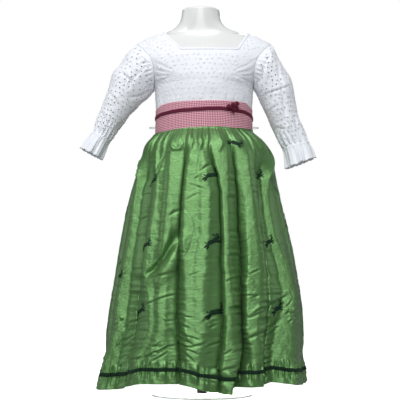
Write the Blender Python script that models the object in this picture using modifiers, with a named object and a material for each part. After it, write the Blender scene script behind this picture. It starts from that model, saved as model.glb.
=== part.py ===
"""A child's dirndl dress, worn by a limbless dress form on a round stand.

Metres, +Z up. The front faces -Y and +X is the viewer's right. The origin is the centre of the
base plate's underside. The dress hangs around its own upright axis, a little to the right of
the pole. Tables are in millimetres and degrees. An angle goes round the body from the front
centre: 90 is the viewer's right side seam and 180 is the back centre.
"""

import math

import bpy
from mathutils import Matrix, Vector

MM = 0.001

# Driving sizes
DRESS_AXIS_X = 4.0
SEAM = 0.3
COTTON_WALL = 1.5
TAFFETA_WALL = 1.2
BAND_WALL = 1.8
RIBBON_WALL = 1.0
RIBBON_WIDTH = 7.0
SEAM_HALF_GAP = 0.45

ARMHOLE_HEIGHT = 654.5
ARMHOLE_RISE = 44.0
ARMHOLE_STEP = 15
ARMHOLE_OFFSET = 1.15
NECK_POINT_X = 80.0
FRONT_NECK = {"height": 676.5, "left": 45.0, "right": 66.0}
BACK_NECK = {"height": 702.0, "left": 62.0, "right": 62.0}
BINDING_WIDTH = 4.0
BINDING_LIFT = 0.85

# Waistband edges and its ribbon: mean height, rise to the right side, rise to the front
BAND_TOP = (569.0, 4.0, 1.0)
BAND_BOTTOM = (524.5, 2.0, -1.0)
RIBBON_LEVEL = (553.5, -1.0, 0.0)
RIBBON_SIDE_DIP = 2.8
BAND_COLUMNS = 64
BAND_OUT = 0.6
RIBBON_LIFT = 0.35

# Fine gathers under the waist: how far they stand out at the seam and where fullest, how far
# down they are fullest, and how far below that they fade out
GATHERS = 32
GATHER_AT_SEAM = 1.5
GATHER_FULL = 5.0
GATHER_RISE = 28.0
GATHER_FADE = 120.0

SKIRT_PANEL_COLUMNS = 64
FOLDS_START = 90.0
HEM_NOMINAL = 27.0
HEM_REACH = 150.0
RIBBON_TOP_ABOVE_HEM = 31.0
HEM_RIBBON_LIFT = 0.6

SLEEVE_COLUMNS = 24
CUFF_COLUMNS = 36
CUFF_WAVES = 9
CUFF_WAVE_DEPTH = 3.2

# Bow on the waist ribbon, and the cords at the side seams
BOW_ANGLE = 33.5
BOW_HEIGHT = 559.0
BOW_TURN = 25.0
BOW_WALL = 0.8
BOW_START = 4.5
BOW_LOOP_POINTS = 14
BOW_LOOP_LIFT = 4.2
BOW_LOOP_PINCH = 0.45
BOW_TAIL_LIFT = 1.0
BOW_TAIL_RISE = 0.6
BOW_TAIL_POINTS = 4
BOW_KNOT = (7.5, 5.0, 7.0)
BOW_KNOT_LIFT = 0.6
CORD_LENGTH = 12.0
CORD_HALF_HEIGHT = 2.3
CORD_RADIUS = 0.65
CORD_HEIGHT = 531.0
CORD_POINTS = 9

FORM_COLUMNS = 24

POLE_RADIUS = 10.0
PLATE_RADIUS = 100.0
PLATE_THICKNESS = 4.0

# Body section at each height: half width, half depth to the front and to the back, and how far
# inside it the dress form lies
BODY_COLUMNS = ("height", "half_width", "front", "back", "form_inset")
BODY = (
    (515.0, 97.0, 72.0, 68.0, 3.0),
    (545.0, 96.0, 72.0, 68.0, 3.0),
    (568.0, 96.0, 73.0, 69.0, 3.0),
    (590.0, 97.5, 75.0, 71.0, 3.0),
    (610.5, 98.5, 77.0, 73.0, 4.5),
    (623.0, 108.0, 77.0, 74.0, 6.5),
    (638.0, 122.0, 75.0, 74.0, 5.0),
    (654.5, 136.0, 72.0, 72.0, 4.0),
    (668.0, 143.5, 68.0, 69.0, 4.0),
    (684.0, 143.5, 60.0, 62.0, 3.5),
    (698.5, 134.0, 48.5, 51.0, 3.0),
    (708.0, 117.0, 42.5, 44.0, 3.0),
    (716.0, 98.0, 38.5, 40.0, 3.0),
    (720.0, 80.0, 37.5, 39.0, 3.0),
)

# Half width of the bodice at the armhole seam
ARMHOLE_COLUMNS = ("height", "half_width")
ARMHOLE = (
    (610.5, 98.5),
    (624.0, 97.5),
    (640.0, 98.5),
    (654.5, 101.5),
    (668.0, 108.0),
    (684.0, 121.0),
    (698.5, 134.0),
)

# Form below the waist and above the shoulders: height, half width, half depth, and how far its
# middle lies from the dress axis
FORM_HIPS = (
    (391.5, 30.0, 22.0, -2.0),
    (395.0, 58.0, 44.0, -1.0),
    (403.0, 80.0, 63.0, 0.0),
    (418.0, 96.0, 77.0, 0.0),
    (440.0, 103.0, 83.0, 0.0),
    (470.0, 103.0, 82.0, 0.0),
    (500.0, 98.0, 75.0, 0.0),
)
FORM_NECK = (
    (722.0, 73.0, 37.0, -1.0),
    (726.0, 63.0, 36.5, -2.5),
    (732.0, 53.0, 36.5, -4.0),
    (740.0, 45.0, 36.5, -5.5),
    (750.0, 40.5, 36.5, -6.0),
    (760.0, 38.5, 36.5, -6.0),
    (766.5, 38.0, 36.0, -6.0),
    (768.0, 36.5, 34.5, -6.0),
)

# Sleeve rings from the armhole to the elastic: x and z of the outer edge, x and z of the inner
# edge, how far the ring's middle comes forward, and its half depth
SLEEVE_RIGHT = (
    (139.5, 690.5, 100.5, 606.0, 0.0, 48.0),
    (148.0, 671.5, 104.5, 599.0, 1.0, 48.0),
    (159.0, 652.0, 109.5, 589.5, 2.0, 46.0),
    (172.0, 632.0, 115.5, 576.0, 3.0, 43.0),
    (178.0, 610.0, 121.0, 562.0, 4.0, 40.0),
    (182.0, 586.0, 128.0, 547.5, 5.0, 37.0),
    (186.0, 562.0, 135.5, 531.0, 6.0, 34.0),
    (194.5, 536.0, 143.5, 513.0, 8.0, 30.0),
    (206.5, 503.0, 156.0, 489.0, 10.0, 26.0),
)
SLEEVE_LEFT = (
    (140.5, 691.5, 101.0, 606.0, 0.0, 48.0),
    (151.5, 681.5, 105.5, 599.0, 1.0, 48.0),
    (165.0, 662.5, 113.0, 590.0, 2.0, 46.0),
    (180.0, 643.0, 125.0, 579.0, 3.0, 43.0),
    (187.0, 623.0, 135.5, 568.0, 4.0, 40.0),
    (193.0, 601.0, 147.5, 557.0, 5.0, 37.0),
    (203.0, 576.0, 158.5, 541.5, 6.0, 34.0),
    (211.0, 551.0, 172.0, 525.0, 8.0, 31.0),
    (218.5, 523.0, 187.0, 502.5, 10.0, 28.0),
)

# Cuff frill rings from the elastic to the rim, with the same columns
CUFF_RIGHT = (
    (206.8, 502.4, 156.2, 488.4, 10.0, 26.0),
    (214.0, 487.0, 160.0, 469.0, 11.0, 30.0),
    (219.0, 470.0, 163.0, 449.0, 12.0, 34.0),
)
CUFF_LEFT = (
    (219.0, 522.3, 187.3, 502.0, 10.0, 28.0),
    (233.0, 506.0, 194.0, 486.0, 11.0, 31.0),
    (243.0, 488.5, 203.0, 467.5, 12.0, 34.0),
)

# Skirt section at each height, out to the ridges of its folds
SKIRT_COLUMNS = ("height", "left", "right", "front", "back")
SKIRT = (
    (523.0, 97.3, 97.3, 72.5, 68.5),
    (514.0, 101.0, 105.0, 79.0, 76.0),
    (503.0, 109.0, 117.0, 88.0, 88.0),
    (489.0, 117.5, 127.5, 97.0, 98.0),
    (468.0, 124.5, 138.0, 104.0, 107.0),
    (438.0, 135.5, 143.5, 111.0, 116.0),
    (398.0, 148.0, 152.0, 119.0, 126.0),
    (348.0, 159.5, 163.0, 128.0, 136.0),
    (288.0, 170.5, 178.0, 139.0, 147.0),
    (228.0, 180.0, 188.0, 149.0, 156.0),
    (168.0, 190.0, 197.0, 158.0, 163.0),
    (108.0, 198.0, 200.0, 164.0, 168.0),
    (58.0, 206.0, 202.0, 168.0, 172.0),
    (27.0, 213.0, 205.0, 171.0, 175.0),
)
SKIRT_ROWS = (513.0, 499.0, 478.0, 445.0, 396.0, 336.0, 270.0, 205.0, 145.0, 100.0)

# Large skirt folds: the angle of each valley and its depth at the waist, the middle and the
# hem, and how many degrees it spreads to its left and right
FOLD_HEIGHTS = (500.0, 300.0, 27.0)
FOLD_COLUMNS = (
    "angle_waist", "angle_middle", "angle_hem",
    "depth_waist", "depth_middle", "depth_hem",
    "spread_left", "spread_right",
)
FOLDS = (
    (-90.0, -90.0, -90.0, 2.0, 4.0, 5.0, 7.0, 7.0),
    (-70.0, -73.0, -75.0, 3.0, 8.0, 11.0, 8.0, 8.0),
    (-54.0, -56.0, -57.0, 3.0, 6.0, 9.0, 7.0, 7.0),
    (-38.0, -43.5, -40.0, 6.0, 14.0, 16.0, 9.0, 6.0),
    (-28.0, -31.0, -29.0, 3.0, 7.0, 6.0, 6.0, 6.0),
    (-20.0, -18.6, -14.0, 4.0, 10.0, 15.0, 6.0, 7.0),
    (-8.0, -6.0, -4.0, 3.0, 6.0, 8.0, 6.0, 6.0),
    (7.0, 6.0, 6.0, 3.0, 7.0, 6.0, 7.0, 7.0),
    (25.0, 23.5, 17.5, 5.0, 12.0, 24.0, 4.5, 11.0),
    (47.0, 41.5, 37.0, 5.0, 12.0, 11.0, 6.0, 9.0),
    (60.0, 60.0, 60.0, 3.0, 7.0, 12.0, 8.0, 8.0),
    (76.0, 76.0, 77.0, 2.0, 5.0, 8.0, 6.0, 6.0),
    (90.0, 90.0, 90.0, 2.0, 4.0, 5.0, 7.0, 7.0),
    (103.0, 105.0, 106.0, 3.0, 8.0, 13.0, 8.0, 7.0),
    (118.0, 119.0, 121.0, 4.0, 7.0, 9.0, 7.0, 8.0),
    (132.0, 135.0, 137.0, 5.0, 13.0, 17.0, 8.0, 8.0),
    (147.0, 150.0, 151.0, 3.0, 8.0, 8.0, 7.0, 7.0),
    (163.0, 164.0, 167.0, 5.0, 11.0, 16.0, 7.0, 8.0),
    (178.0, 180.0, 182.0, 4.0, 9.0, 10.0, 8.0, 7.0),
    (193.0, 195.0, 196.0, 4.0, 12.0, 18.0, 7.0, 9.0),
    (208.0, 211.0, 212.0, 3.0, 7.0, 9.0, 7.0, 7.0),
    (223.0, 224.0, 227.0, 5.0, 13.0, 16.0, 8.0, 8.0),
    (238.0, 240.0, 241.0, 3.0, 8.0, 10.0, 7.0, 7.0),
    (254.0, 255.0, 256.0, 3.0, 7.0, 11.0, 7.0, 7.0),
)

# Height of the hem's edge round the skirt: angle, height
HEM = (
    (-180.0, 24.0),
    (-150.0, 30.0),
    (-120.0, 21.0),
    (-90.0, 20.0),
    (-70.0, 17.5),
    (-46.0, 21.5),
    (-37.0, 33.5),
    (-24.0, 34.0),
    (-11.0, 33.0),
    (0.0, 23.0),
    (7.0, 19.0),
    (13.5, 16.5),
    (19.0, 26.5),
    (29.0, 28.0),
    (38.0, 34.0),
    (49.0, 31.0),
    (71.0, 26.0),
    (90.0, 27.0),
    (130.0, 31.0),
    (160.0, 20.0),
    (180.0, 24.0),
)

# Bow loops: name, lean from upright, length, how far the loop opens
BOW_LOOPS = (
    ("left", 40.0, 12.8, 5.5),
    ("right", -20.0, 13.6, 5.5),
)

# Bow tails: name, lean from upright, length, how much longer the upper edge is than the lower
BOW_TAILS = (
    ("left", 118.0, 7.5, 2.8),
    ("right", -112.0, 8.5, 2.8),
)


def column(table, names, name):
    """(first column, named column) pairs of a table."""
    index = names.index(name)
    return [(row[0], row[index]) for row in table]


def curve_value(pairs, at):
    """A smooth curve through the pairs, which never swings past them, read at one place."""
    xs = [pair[0] for pair in pairs]
    ys = [pair[1] for pair in pairs]
    if at <= xs[0]:
        return ys[0]
    if at >= xs[-1]:
        return ys[-1]
    count = len(xs)
    rises = [(ys[i + 1] - ys[i]) / (xs[i + 1] - xs[i]) for i in range(count - 1)]
    slopes = [rises[0]]
    for before, after in zip(rises, rises[1:]):
        level = before * after <= 0
        slopes.append(0.0 if level else 2 * before * after / (before + after))
    slopes.append(rises[-1])
    i = max(k for k in range(count - 1) if xs[k] <= at)
    width = xs[i + 1] - xs[i]
    t = (at - xs[i]) / width
    start = ys[i] * (1 + 2 * t) * (1 - t) ** 2 + slopes[i] * width * t * (1 - t) ** 2
    end = ys[i + 1] * t * t * (3 - 2 * t) - slopes[i + 1] * width * t * t * (1 - t)
    return start + end


def smooth_step(value):
    value = min(1.0, max(0.0, value))
    return value * value * (3 - 2 * value)


def blend(a, b, t):
    return a + (b - a) * t


def even_turns(count):
    """Angles in even steps, once round."""
    return [360 * i / count for i in range(count)]


# Turned the other way up, so that heights rise
SKIRT_UP = tuple(reversed(SKIRT))
FOLD_UP = tuple(reversed(FOLD_HEIGHTS))

HALF_WIDTH = column(BODY, BODY_COLUMNS, "half_width")
HALF_DEPTH = {
    "front": column(BODY, BODY_COLUMNS, "front"),
    "back": column(BODY, BODY_COLUMNS, "back"),
}
ARMHOLE_WIDTH = column(ARMHOLE, ARMHOLE_COLUMNS, "half_width")


def armhole_z(step):
    """Height on the armhole's edge, from 0 at the armpit to 180 at the shoulder point."""
    return ARMHOLE_HEIGHT - ARMHOLE_RISE * math.cos(math.radians(step))


def body_point(x, z, side):
    """The point of the body's surface at x and height z, on its front or back."""
    half_width = curve_value(HALF_WIDTH, z)
    depth = curve_value(HALF_DEPTH[side], z)
    y = depth * math.sqrt(max(0.0, 1 - (x / half_width) ** 2))
    return Vector((x, -y if side == "front" else y, z))


def ridge_height(x):
    """Height of the shoulder ridge: where the section above the armhole is as wide as x."""
    low = armhole_z(180)
    high = BODY[-1][0]
    for _ in range(30):
        middle = (low + high) / 2
        if curve_value(HALF_WIDTH, middle) > x:
            low = middle
        else:
            high = middle
    return low


def body_normal(point):
    """The outward direction of the body's surface at a point on it."""
    side = "front" if point.y < 0 else "back"

    def reach(z):
        wide = curve_value(HALF_WIDTH, z)
        deep = curve_value(HALF_DEPTH[side], z)
        return (point.x / wide) ** 2 + (point.y / deep) ** 2

    wide = curve_value(HALF_WIDTH, point.z)
    deep = curve_value(HALF_DEPTH[side], point.z)
    rise = (reach(point.z + 1) - reach(point.z - 1)) / 2
    return Vector((2 * point.x / wide**2, 2 * point.y / deep**2, rise)).normalized()


def ring_point(angle, z, out=0.0):
    """The point of the body's section at height z in a direction, moved out."""
    turn = math.radians(angle)
    side = "front" if math.cos(turn) > 0 else "back"
    wide = curve_value(HALF_WIDTH, z) + out
    deep = curve_value(HALF_DEPTH[side], z) + out
    return Vector((wide * math.sin(turn), -deep * math.cos(turn), z))


def tilted(level, angle):
    """Height on a tilted edge round the waist."""
    mean, rise_right, rise_front = level
    turn = math.radians(angle)
    return mean + rise_right * math.sin(turn) + rise_front * math.cos(turn)


def band_top(angle):
    return tilted(BAND_TOP, angle)


def band_bottom(angle):
    return tilted(BAND_BOTTOM, angle)


def ribbon_middle(angle):
    """Height of the waist ribbon's middle: it dips at both side seams."""
    return tilted(RIBBON_LEVEL, angle) + RIBBON_SIDE_DIP * math.cos(math.radians(2 * angle))


def fold_value(row, first, z):
    """One of a fold's three-part values, at height z."""
    start = FOLD_COLUMNS.index(first)
    values = row[start : start + 3]
    return curve_value(list(zip(FOLD_UP, reversed(values))), z)


def skirt_fold(angle, z):
    """How far the large folds draw the skirt in."""
    depth = 0.0
    for row in FOLDS:
        away = (angle - fold_value(row, "angle_waist", z) + 180) % 360 - 180
        spread = row[FOLD_COLUMNS.index("spread_left" if away < 0 else "spread_right")]
        if abs(away) < spread:
            shape = 0.5 + 0.5 * math.cos(math.pi * away / spread)
            depth += fold_value(row, "depth_waist", z) * shape
    return depth * smooth_step((band_bottom(angle) - z) / FOLDS_START)


def gather(angle, z):
    """How far the fine gathers under the waist stand out. A valley lies at each side seam."""
    below = band_bottom(angle) - z
    height = blend(GATHER_AT_SEAM, GATHER_FULL, smooth_step(below / GATHER_RISE))
    height *= 1 - smooth_step((below - GATHER_RISE) / GATHER_FADE)
    return height * (0.5 - 0.5 * math.cos(math.radians((angle - 90) * GATHERS)))


def hem_height(angle):
    return curve_value(HEM, (angle + 180) % 360 - 180)


def skirt_point(angle, z, out=0.0):
    """The skirt's surface in a direction, at height z on a level hem, moved out."""
    turn = math.radians(angle)
    wide = "right" if math.sin(turn) > 0 else "left"
    deep = "front" if math.cos(turn) > 0 else "back"
    half_width = curve_value(column(SKIRT_UP, SKIRT_COLUMNS, wide), z)
    half_depth = curve_value(column(SKIRT_UP, SKIRT_COLUMNS, deep), z)
    base = Vector((half_width * math.sin(turn), -half_depth * math.cos(turn), 0))
    outward = Vector((math.sin(turn) / half_width, -math.cos(turn) / half_depth, 0)).normalized()
    point = base + outward * (gather(angle, z) - skirt_fold(angle, z) + out)
    uneven = (hem_height(angle) - HEM_NOMINAL) * (1 - smooth_step((z - HEM_NOMINAL) / HEM_REACH))
    point.z = z + uneven
    return point


def side_angles(side):
    """The angles of a skirt panel's columns, from one side seam to the other."""
    start = -90 if side == "front" else 90
    return [start + 180 * i / SKIRT_PANEL_COLUMNS for i in range(SKIRT_PANEL_COLUMNS + 1)]


def new_material(name, colour, roughness, metallic=0.0):
    material = bpy.data.materials.new(name)
    material.use_nodes = True
    shader = material.node_tree.nodes["Principled BSDF"]
    shader.inputs["Base Color"].default_value = (*colour, 1)
    shader.inputs["Roughness"].default_value = roughness
    shader.inputs["Metallic"].default_value = metallic
    return material


def place(obj, material, parent=None):
    obj.data.materials.append(material)
    obj.parent = parent
    dress.objects.link(obj)
    return obj


def hold_apart(rows, side, gap):
    """Keeps a front or back panel's points this far off the plane of the side seams."""
    for row in rows:
        for point in row:
            point.y = min(point.y, -gap) if side == "front" else max(point.y, gap)


def loft(name, rows, material, wall, closed=False, outwards=False, keep=None):
    """A cloth wall on a grid of points. Rows run upwards and columns anticlockwise from above.

    keep(row, column) says whether the grid has that face.
    """
    across = len(rows[0])
    corners = [point * MM for row in rows for point in row]
    faces = []
    for r in range(len(rows) - 1):
        for c in range(across if closed else across - 1):
            if keep and not keep(r, c):
                continue
            right = (c + 1) % across
            low = r * across
            high = low + across
            faces.append((low + c, low + right, high + right, high + c))
    used = sorted({corner for face in faces for corner in face})
    index = {corner: i for i, corner in enumerate(used)}
    mesh = bpy.data.meshes.new(name)
    mesh.from_pydata(
        [corners[i] for i in used], [], [[index[i] for i in face] for face in faces]
    )
    mesh.shade_smooth()
    mesh.set_sharp_from_angle(angle=math.radians(50))
    obj = place(bpy.data.objects.new(name, mesh), material, dress_axis)
    solid = obj.modifiers.new("wall", "SOLIDIFY")
    solid.thickness = wall * MM
    solid.offset = 1.0 if outwards else -1.0
    return obj


# Bodice

SIDE_COLUMNS = 5
MIDDLE_COLUMNS = 10
LOWER_ROWS = (0.0, 0.5)
NECK_ROW_TURN = 120


def panel_turns(neck, outer):
    """The turns of a bodice panel's columns round its section, in radians, left to right."""
    wide = curve_value(HALF_WIDTH, neck["height"])
    left = math.asin(neck["left"] / wide)
    right = math.asin(neck["right"] / wide)
    turns = [blend(-outer, -left, i / SIDE_COLUMNS) for i in range(SIDE_COLUMNS)]
    turns += [blend(-left, right, i / MIDDLE_COLUMNS) for i in range(MIDDLE_COLUMNS)]
    turns += [blend(right, outer, i / SIDE_COLUMNS) for i in range(SIDE_COLUMNS + 1)]
    return turns


def inwards(c):
    """0 at a panel's outer columns, and 1 from each side of the neckline across the middle."""
    last = 2 * SIDE_COLUMNS + MIDDLE_COLUMNS
    return min(1.0, min(c, last - c) / SIDE_COLUMNS)


def panel_rows(side, neck):
    """Grid of a bodice panel: the waist, the armhole, then the straps up to the shoulder."""
    armpit = armhole_z(0)
    turns = panel_turns(neck, math.radians(90))
    rows = []
    for share in LOWER_ROWS:
        row = []
        for turn in turns:
            angle = math.degrees(turn) if side == "front" else 180 - math.degrees(turn)
            z = blend(band_top(angle) + SEAM, armpit, share)
            row.append(body_point(curve_value(HALF_WIDTH, z) * math.sin(turn), z, side))
        rows.append(row)
    for step in range(0, NECK_ROW_TURN + 1, ARMHOLE_STEP):
        outer_z = armhole_z(step)
        level = (outer_z - armpit) / (armhole_z(NECK_ROW_TURN) - armpit)
        middle_z = blend(armpit, neck["height"], level)
        edge = curve_value(ARMHOLE_WIDTH, outer_z) / curve_value(HALF_WIDTH, outer_z)
        turns = panel_turns(neck, math.asin(min(1.0, edge)))
        row = []
        for c, turn in enumerate(turns):
            z = blend(outer_z, middle_z, inwards(c))
            row.append(body_point(curve_value(HALF_WIDTH, z) * math.sin(turn), z, side))
        rows.append(row)
    rows += strap_rows(side, rows[-1])
    hold_apart(rows, side, SEAM_HALF_GAP)
    return rows


def strap_rows(side, base):
    """The rows from the neckline's foot to the shoulder ridge. Middle points stay unused."""
    low = armhole_z(NECK_ROW_TURN)
    high = armhole_z(180)
    shoulder_x = curve_value(ARMHOLE_WIDTH, high)
    rows = []
    for step in range(NECK_ROW_TURN + ARMHOLE_STEP, 181, ARMHOLE_STEP):
        share = (armhole_z(step) - low) / (high - low)
        row = []
        for c, start in enumerate(base):
            top_x = math.copysign(blend(shoulder_x, NECK_POINT_X, inwards(c)), start.x)
            z = blend(start.z, ridge_height(abs(top_x)), share)
            x = blend(start.x, top_x, share)
            if c in (0, len(base) - 1):
                x = math.copysign(curve_value(ARMHOLE_WIDTH, z), start.x)
            row.append(body_point(x, z, side))
        rows.append(row)
    return rows


def build_bodice(material):
    grids = {}
    for side, neck in (("front", FRONT_NECK), ("back", BACK_NECK)):
        rows = panel_rows(side, neck)
        neck_row = len(LOWER_ROWS) + NECK_ROW_TURN // ARMHOLE_STEP
        grids[side] = rows

        def keep(r, c):
            return r < neck_row or not SIDE_COLUMNS <= c < SIDE_COLUMNS + MIDDLE_COLUMNS

        upright = rows if side == "front" else [row[::-1] for row in rows]
        loft("bodice_" + side, upright, material, COTTON_WALL, keep=keep)
    return grids


def neckline(grid):
    """(edge point, point on the cloth) pairs along a panel's neckline, left to right."""
    neck_row = len(LOWER_ROWS) + NECK_ROW_TURN // ARMHOLE_STEP
    left = SIDE_COLUMNS
    right = SIDE_COLUMNS + MIDDLE_COLUMNS
    pairs = []
    for r in range(len(grid) - 1, neck_row, -1):
        pairs.append((grid[r][left], [grid[r][left - 1]]))
    pairs.append((grid[neck_row][left], [grid[neck_row][left - 1], grid[neck_row - 1][left]]))
    for c in range(left + 1, right):
        pairs.append((grid[neck_row][c], [grid[neck_row - 1][c]]))
    pairs.append((grid[neck_row][right], [grid[neck_row][right + 1], grid[neck_row - 1][right]]))
    for r in range(neck_row + 1, len(grid)):
        pairs.append((grid[r][right], [grid[r][right + 1]]))
    found = []
    for edge, neighbours in pairs:
        inner = edge.copy()
        for neighbour in neighbours:
            inner += (neighbour - edge).normalized() * BINDING_WIDTH
        found.append((edge, inner))
    return found


def build_neck_binding(grids, material):
    """A flat binding round the whole neckline, laid just outside both panels."""
    front = neckline(grids["front"])
    back = neckline(grids["back"])
    loop = front + back[-2:0:-1]
    edge_row = []
    cloth_row = []
    for edge, inner in loop:
        on_body = body_point(inner.x, inner.z, "front" if edge.y < 0 else "back")
        edge_row.append(edge + body_normal(edge) * BINDING_LIFT)
        cloth_row.append(on_body + body_normal(on_body) * BINDING_LIFT)
    for i in (0, len(front) - 1):
        edge_row[i].y = 0.0
        cloth_row[i].y = 0.0
    loft(
        "neck_binding", [cloth_row, edge_row], material, RIBBON_WALL, closed=True, outwards=True
    )


# Sleeves and cuff frills


def armhole_ring(sign, turns):
    """The sleeve's first ring, just off the armhole's edge. Columns start at the front."""
    ring = []
    for turn in turns:
        z = ARMHOLE_HEIGHT + sign * ARMHOLE_RISE * math.sin(math.radians(turn))
        side = "front" if math.cos(math.radians(turn)) > 0 else "back"
        point = body_point(sign * curve_value(ARMHOLE_WIDTH, z), z, side)
        if abs(turn % 180 - 90) < 1:
            point.y = 0.0
        point.x += sign * ARMHOLE_OFFSET
        ring.append(point)
    return ring


def tube_ring(row, sign, turns, wave=None):
    """A ring of a sleeve or frill from a row of its table."""
    outer_x, outer_z, inner_x, inner_z, forward, half_depth = row
    outer = Vector((sign * outer_x, -forward, outer_z))
    inner = Vector((sign * inner_x, -forward, inner_z))
    middle = (outer + inner) / 2
    across = (outer - inner) / 2 * sign
    ahead = Vector((0, -half_depth, 0))
    ring = []
    for turn in turns:
        angle = math.radians(turn)
        spoke = across * math.sin(angle) + ahead * math.cos(angle)
        out = wave(turn) if wave else 0.0
        ring.append(middle + spoke + spoke.normalized() * out)
    return ring


def build_sleeves(material):
    for name, sign, sleeve, cuff in (
        ("right", 1, SLEEVE_RIGHT, CUFF_RIGHT),
        ("left", -1, SLEEVE_LEFT, CUFF_LEFT),
    ):
        turns = even_turns(SLEEVE_COLUMNS)
        rings = [armhole_ring(sign, turns)]
        rings += [tube_ring(row, sign, turns) for row in sleeve]
        loft("sleeve_" + name, rings[::-1], material, COTTON_WALL, closed=True)
        turns = even_turns(CUFF_COLUMNS)
        rings = []
        for i, row in enumerate(cuff):
            depth = CUFF_WAVE_DEPTH * i / (len(cuff) - 1)

            def wave(turn, depth=depth):
                return depth * math.cos(math.radians(turn * CUFF_WAVES))

            rings.append(tube_ring(row, sign, turns, wave))
        loft("cuff_frill_" + name, rings[::-1], material, TAFFETA_WALL, closed=True)


# Waistband, ribbon, bow and cords


def band_point(angle, z, out=0.0):
    """A point on the waistband's straight outer side, moved out."""
    low = ring_point(angle, band_bottom(angle), BAND_OUT + out)
    high = ring_point(angle, band_top(angle), BAND_OUT + out)
    return low.lerp(high, (z - low.z) / (high.z - low.z))


def build_waistband(gingham, velvet):
    angles = even_turns(BAND_COLUMNS)
    edges = [[band_point(a, end(a)) for a in angles] for end in (band_bottom, band_top)]
    loft("waistband", edges, gingham, BAND_WALL, closed=True)
    edges = []
    for half in (-RIBBON_WIDTH / 2, RIBBON_WIDTH / 2):
        edges.append([band_point(a, ribbon_middle(a) + half, RIBBON_LIFT) for a in angles])
    loft("waist_ribbon", edges, velvet, RIBBON_WALL, closed=True, outwards=True)


BOW_OUT = Vector((0, -1, 0))


def leaning(lean):
    """The direction of a bow piece in the bow's upright plane, and the one across it."""
    along = Vector((-math.sin(math.radians(lean)), 0, math.cos(math.radians(lean))))
    return along, along.cross(BOW_OUT)


def bow_loop_rows(lean, length, opening):
    """The two edges of a ribbon that goes out, turns and comes back, pinched at the knot."""
    along, across = leaning(lean)
    rows = []
    for half in (-RIBBON_WIDTH / 2, RIBBON_WIDTH / 2):
        row = []
        for i in range(BOW_LOOP_POINTS):
            turn = 2 * math.pi * i / BOW_LOOP_POINTS
            away = math.sin(turn / 2) ** 2
            belly = opening / 2 * math.sin(turn) * blend(0.35, 1.0, away)
            width = half * blend(1 - BOW_LOOP_PINCH, 1.0, away)
            spot = along * (BOW_START + length * away) + across * width
            row.append(spot + BOW_OUT * (BOW_LOOP_LIFT + belly))
        rows.append(row)
    return rows


def bow_tail_rows(lean, length, slant):
    """The two edges of a short ribbon end, cut on the slant."""
    along, across = leaning(lean)
    rows = []
    for side in (-0.5, 0.5):
        row = []
        for i in range(BOW_TAIL_POINTS):
            share = i / (BOW_TAIL_POINTS - 1)
            reach = BOW_START + (length + side * slant) * share
            spot = along * reach + across * (side * RIBBON_WIDTH)
            row.append(spot + BOW_OUT * (BOW_TAIL_LIFT + BOW_TAIL_RISE * share))
        rows.append(row)
    return rows


def build_bow(velvet):
    """Two loops, two tails and a knot. The bow's plane is upright and follows the waist."""
    holder = bpy.data.objects.new("bow_centre", None)
    holder.location = band_point(BOW_ANGLE, BOW_HEIGHT, RIBBON_LIFT + RIBBON_WALL) * MM
    holder.rotation_euler = (0, 0, math.radians(BOW_TURN))
    holder.parent = dress_axis
    dress.objects.link(holder)
    for name, lean, length, opening in BOW_LOOPS:
        rows = bow_loop_rows(lean, length, opening)
        loft("bow_loop_" + name, rows, velvet, BOW_WALL, closed=True).parent = holder
    for name, lean, length, slant in BOW_TAILS:
        rows = bow_tail_rows(lean, length, slant)
        loft("bow_tail_" + name, rows, velvet, BOW_WALL, outwards=True).parent = holder
    bpy.ops.mesh.primitive_uv_sphere_add(segments=16, ring_count=8, radius=0.5)
    knot = bpy.context.object
    knot.users_collection[0].objects.unlink(knot)
    knot.name = "bow_knot"
    knot.data.name = "bow_knot"
    knot.data.transform(Matrix.Diagonal((*[size * MM for size in BOW_KNOT], 1)))
    knot.data.shade_smooth()
    knot.location = BOW_OUT * (BOW_KNOT[1] / 2 + BOW_KNOT_LIFT) * MM
    place(knot, velvet, holder)


def build_cord_loops(material):
    """A small U of cord at each side of the waistband."""
    for name, sign in (("left", -1), ("right", 1)):
        curve = bpy.data.curves.new("belt_loop_" + name, "CURVE")
        curve.dimensions = "3D"
        curve.bevel_depth = CORD_RADIUS * MM
        curve.bevel_resolution = 2
        curve.use_fill_caps = True
        spline = curve.splines.new("POLY")
        spline.points.add(CORD_POINTS - 1)
        start = band_point(90 * sign, CORD_HEIGHT, 2 * SEAM).x
        for i, point in enumerate(spline.points):
            share = i / (CORD_POINTS - 1)
            reach = sign * CORD_LENGTH * math.sin(math.pi * share) ** 0.7 if 0 < share < 1 else 0.0
            height = CORD_HEIGHT - CORD_HALF_HEIGHT * math.cos(math.pi * share)
            point.co = (*(Vector((start + reach, 0, height)) * MM), 1)
        place(bpy.data.objects.new("belt_loop_" + name, curve), material, dress_axis)


# Skirt


def build_skirt(taffeta, velvet):
    ribbon_top = HEM_NOMINAL + RIBBON_TOP_ABOVE_HEM
    ribbon_low = ribbon_top - RIBBON_WIDTH
    levels = (*SKIRT_ROWS, ribbon_top, ribbon_low, HEM_NOMINAL)
    for side in ("front", "back"):
        angles = side_angles(side)
        rows = [[skirt_point(a, band_bottom(a) - SEAM) for a in angles]]
        rows += [[skirt_point(a, z) for a in angles] for z in levels]
        hold_apart(rows, side, SEAM_HALF_GAP / 2)
        loft("skirt_" + side, rows[::-1], taffeta, TAFFETA_WALL)
    around = side_angles("front")[:-1] + side_angles("back")[:-1]
    edges = []
    for z in (ribbon_low, ribbon_top):
        edges.append([skirt_point(a, z, HEM_RIBBON_LIFT) for a in around])
    loft("hem_ribbon", edges, velvet, RIBBON_WALL, closed=True, outwards=True)


# Dress form and stand


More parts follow.
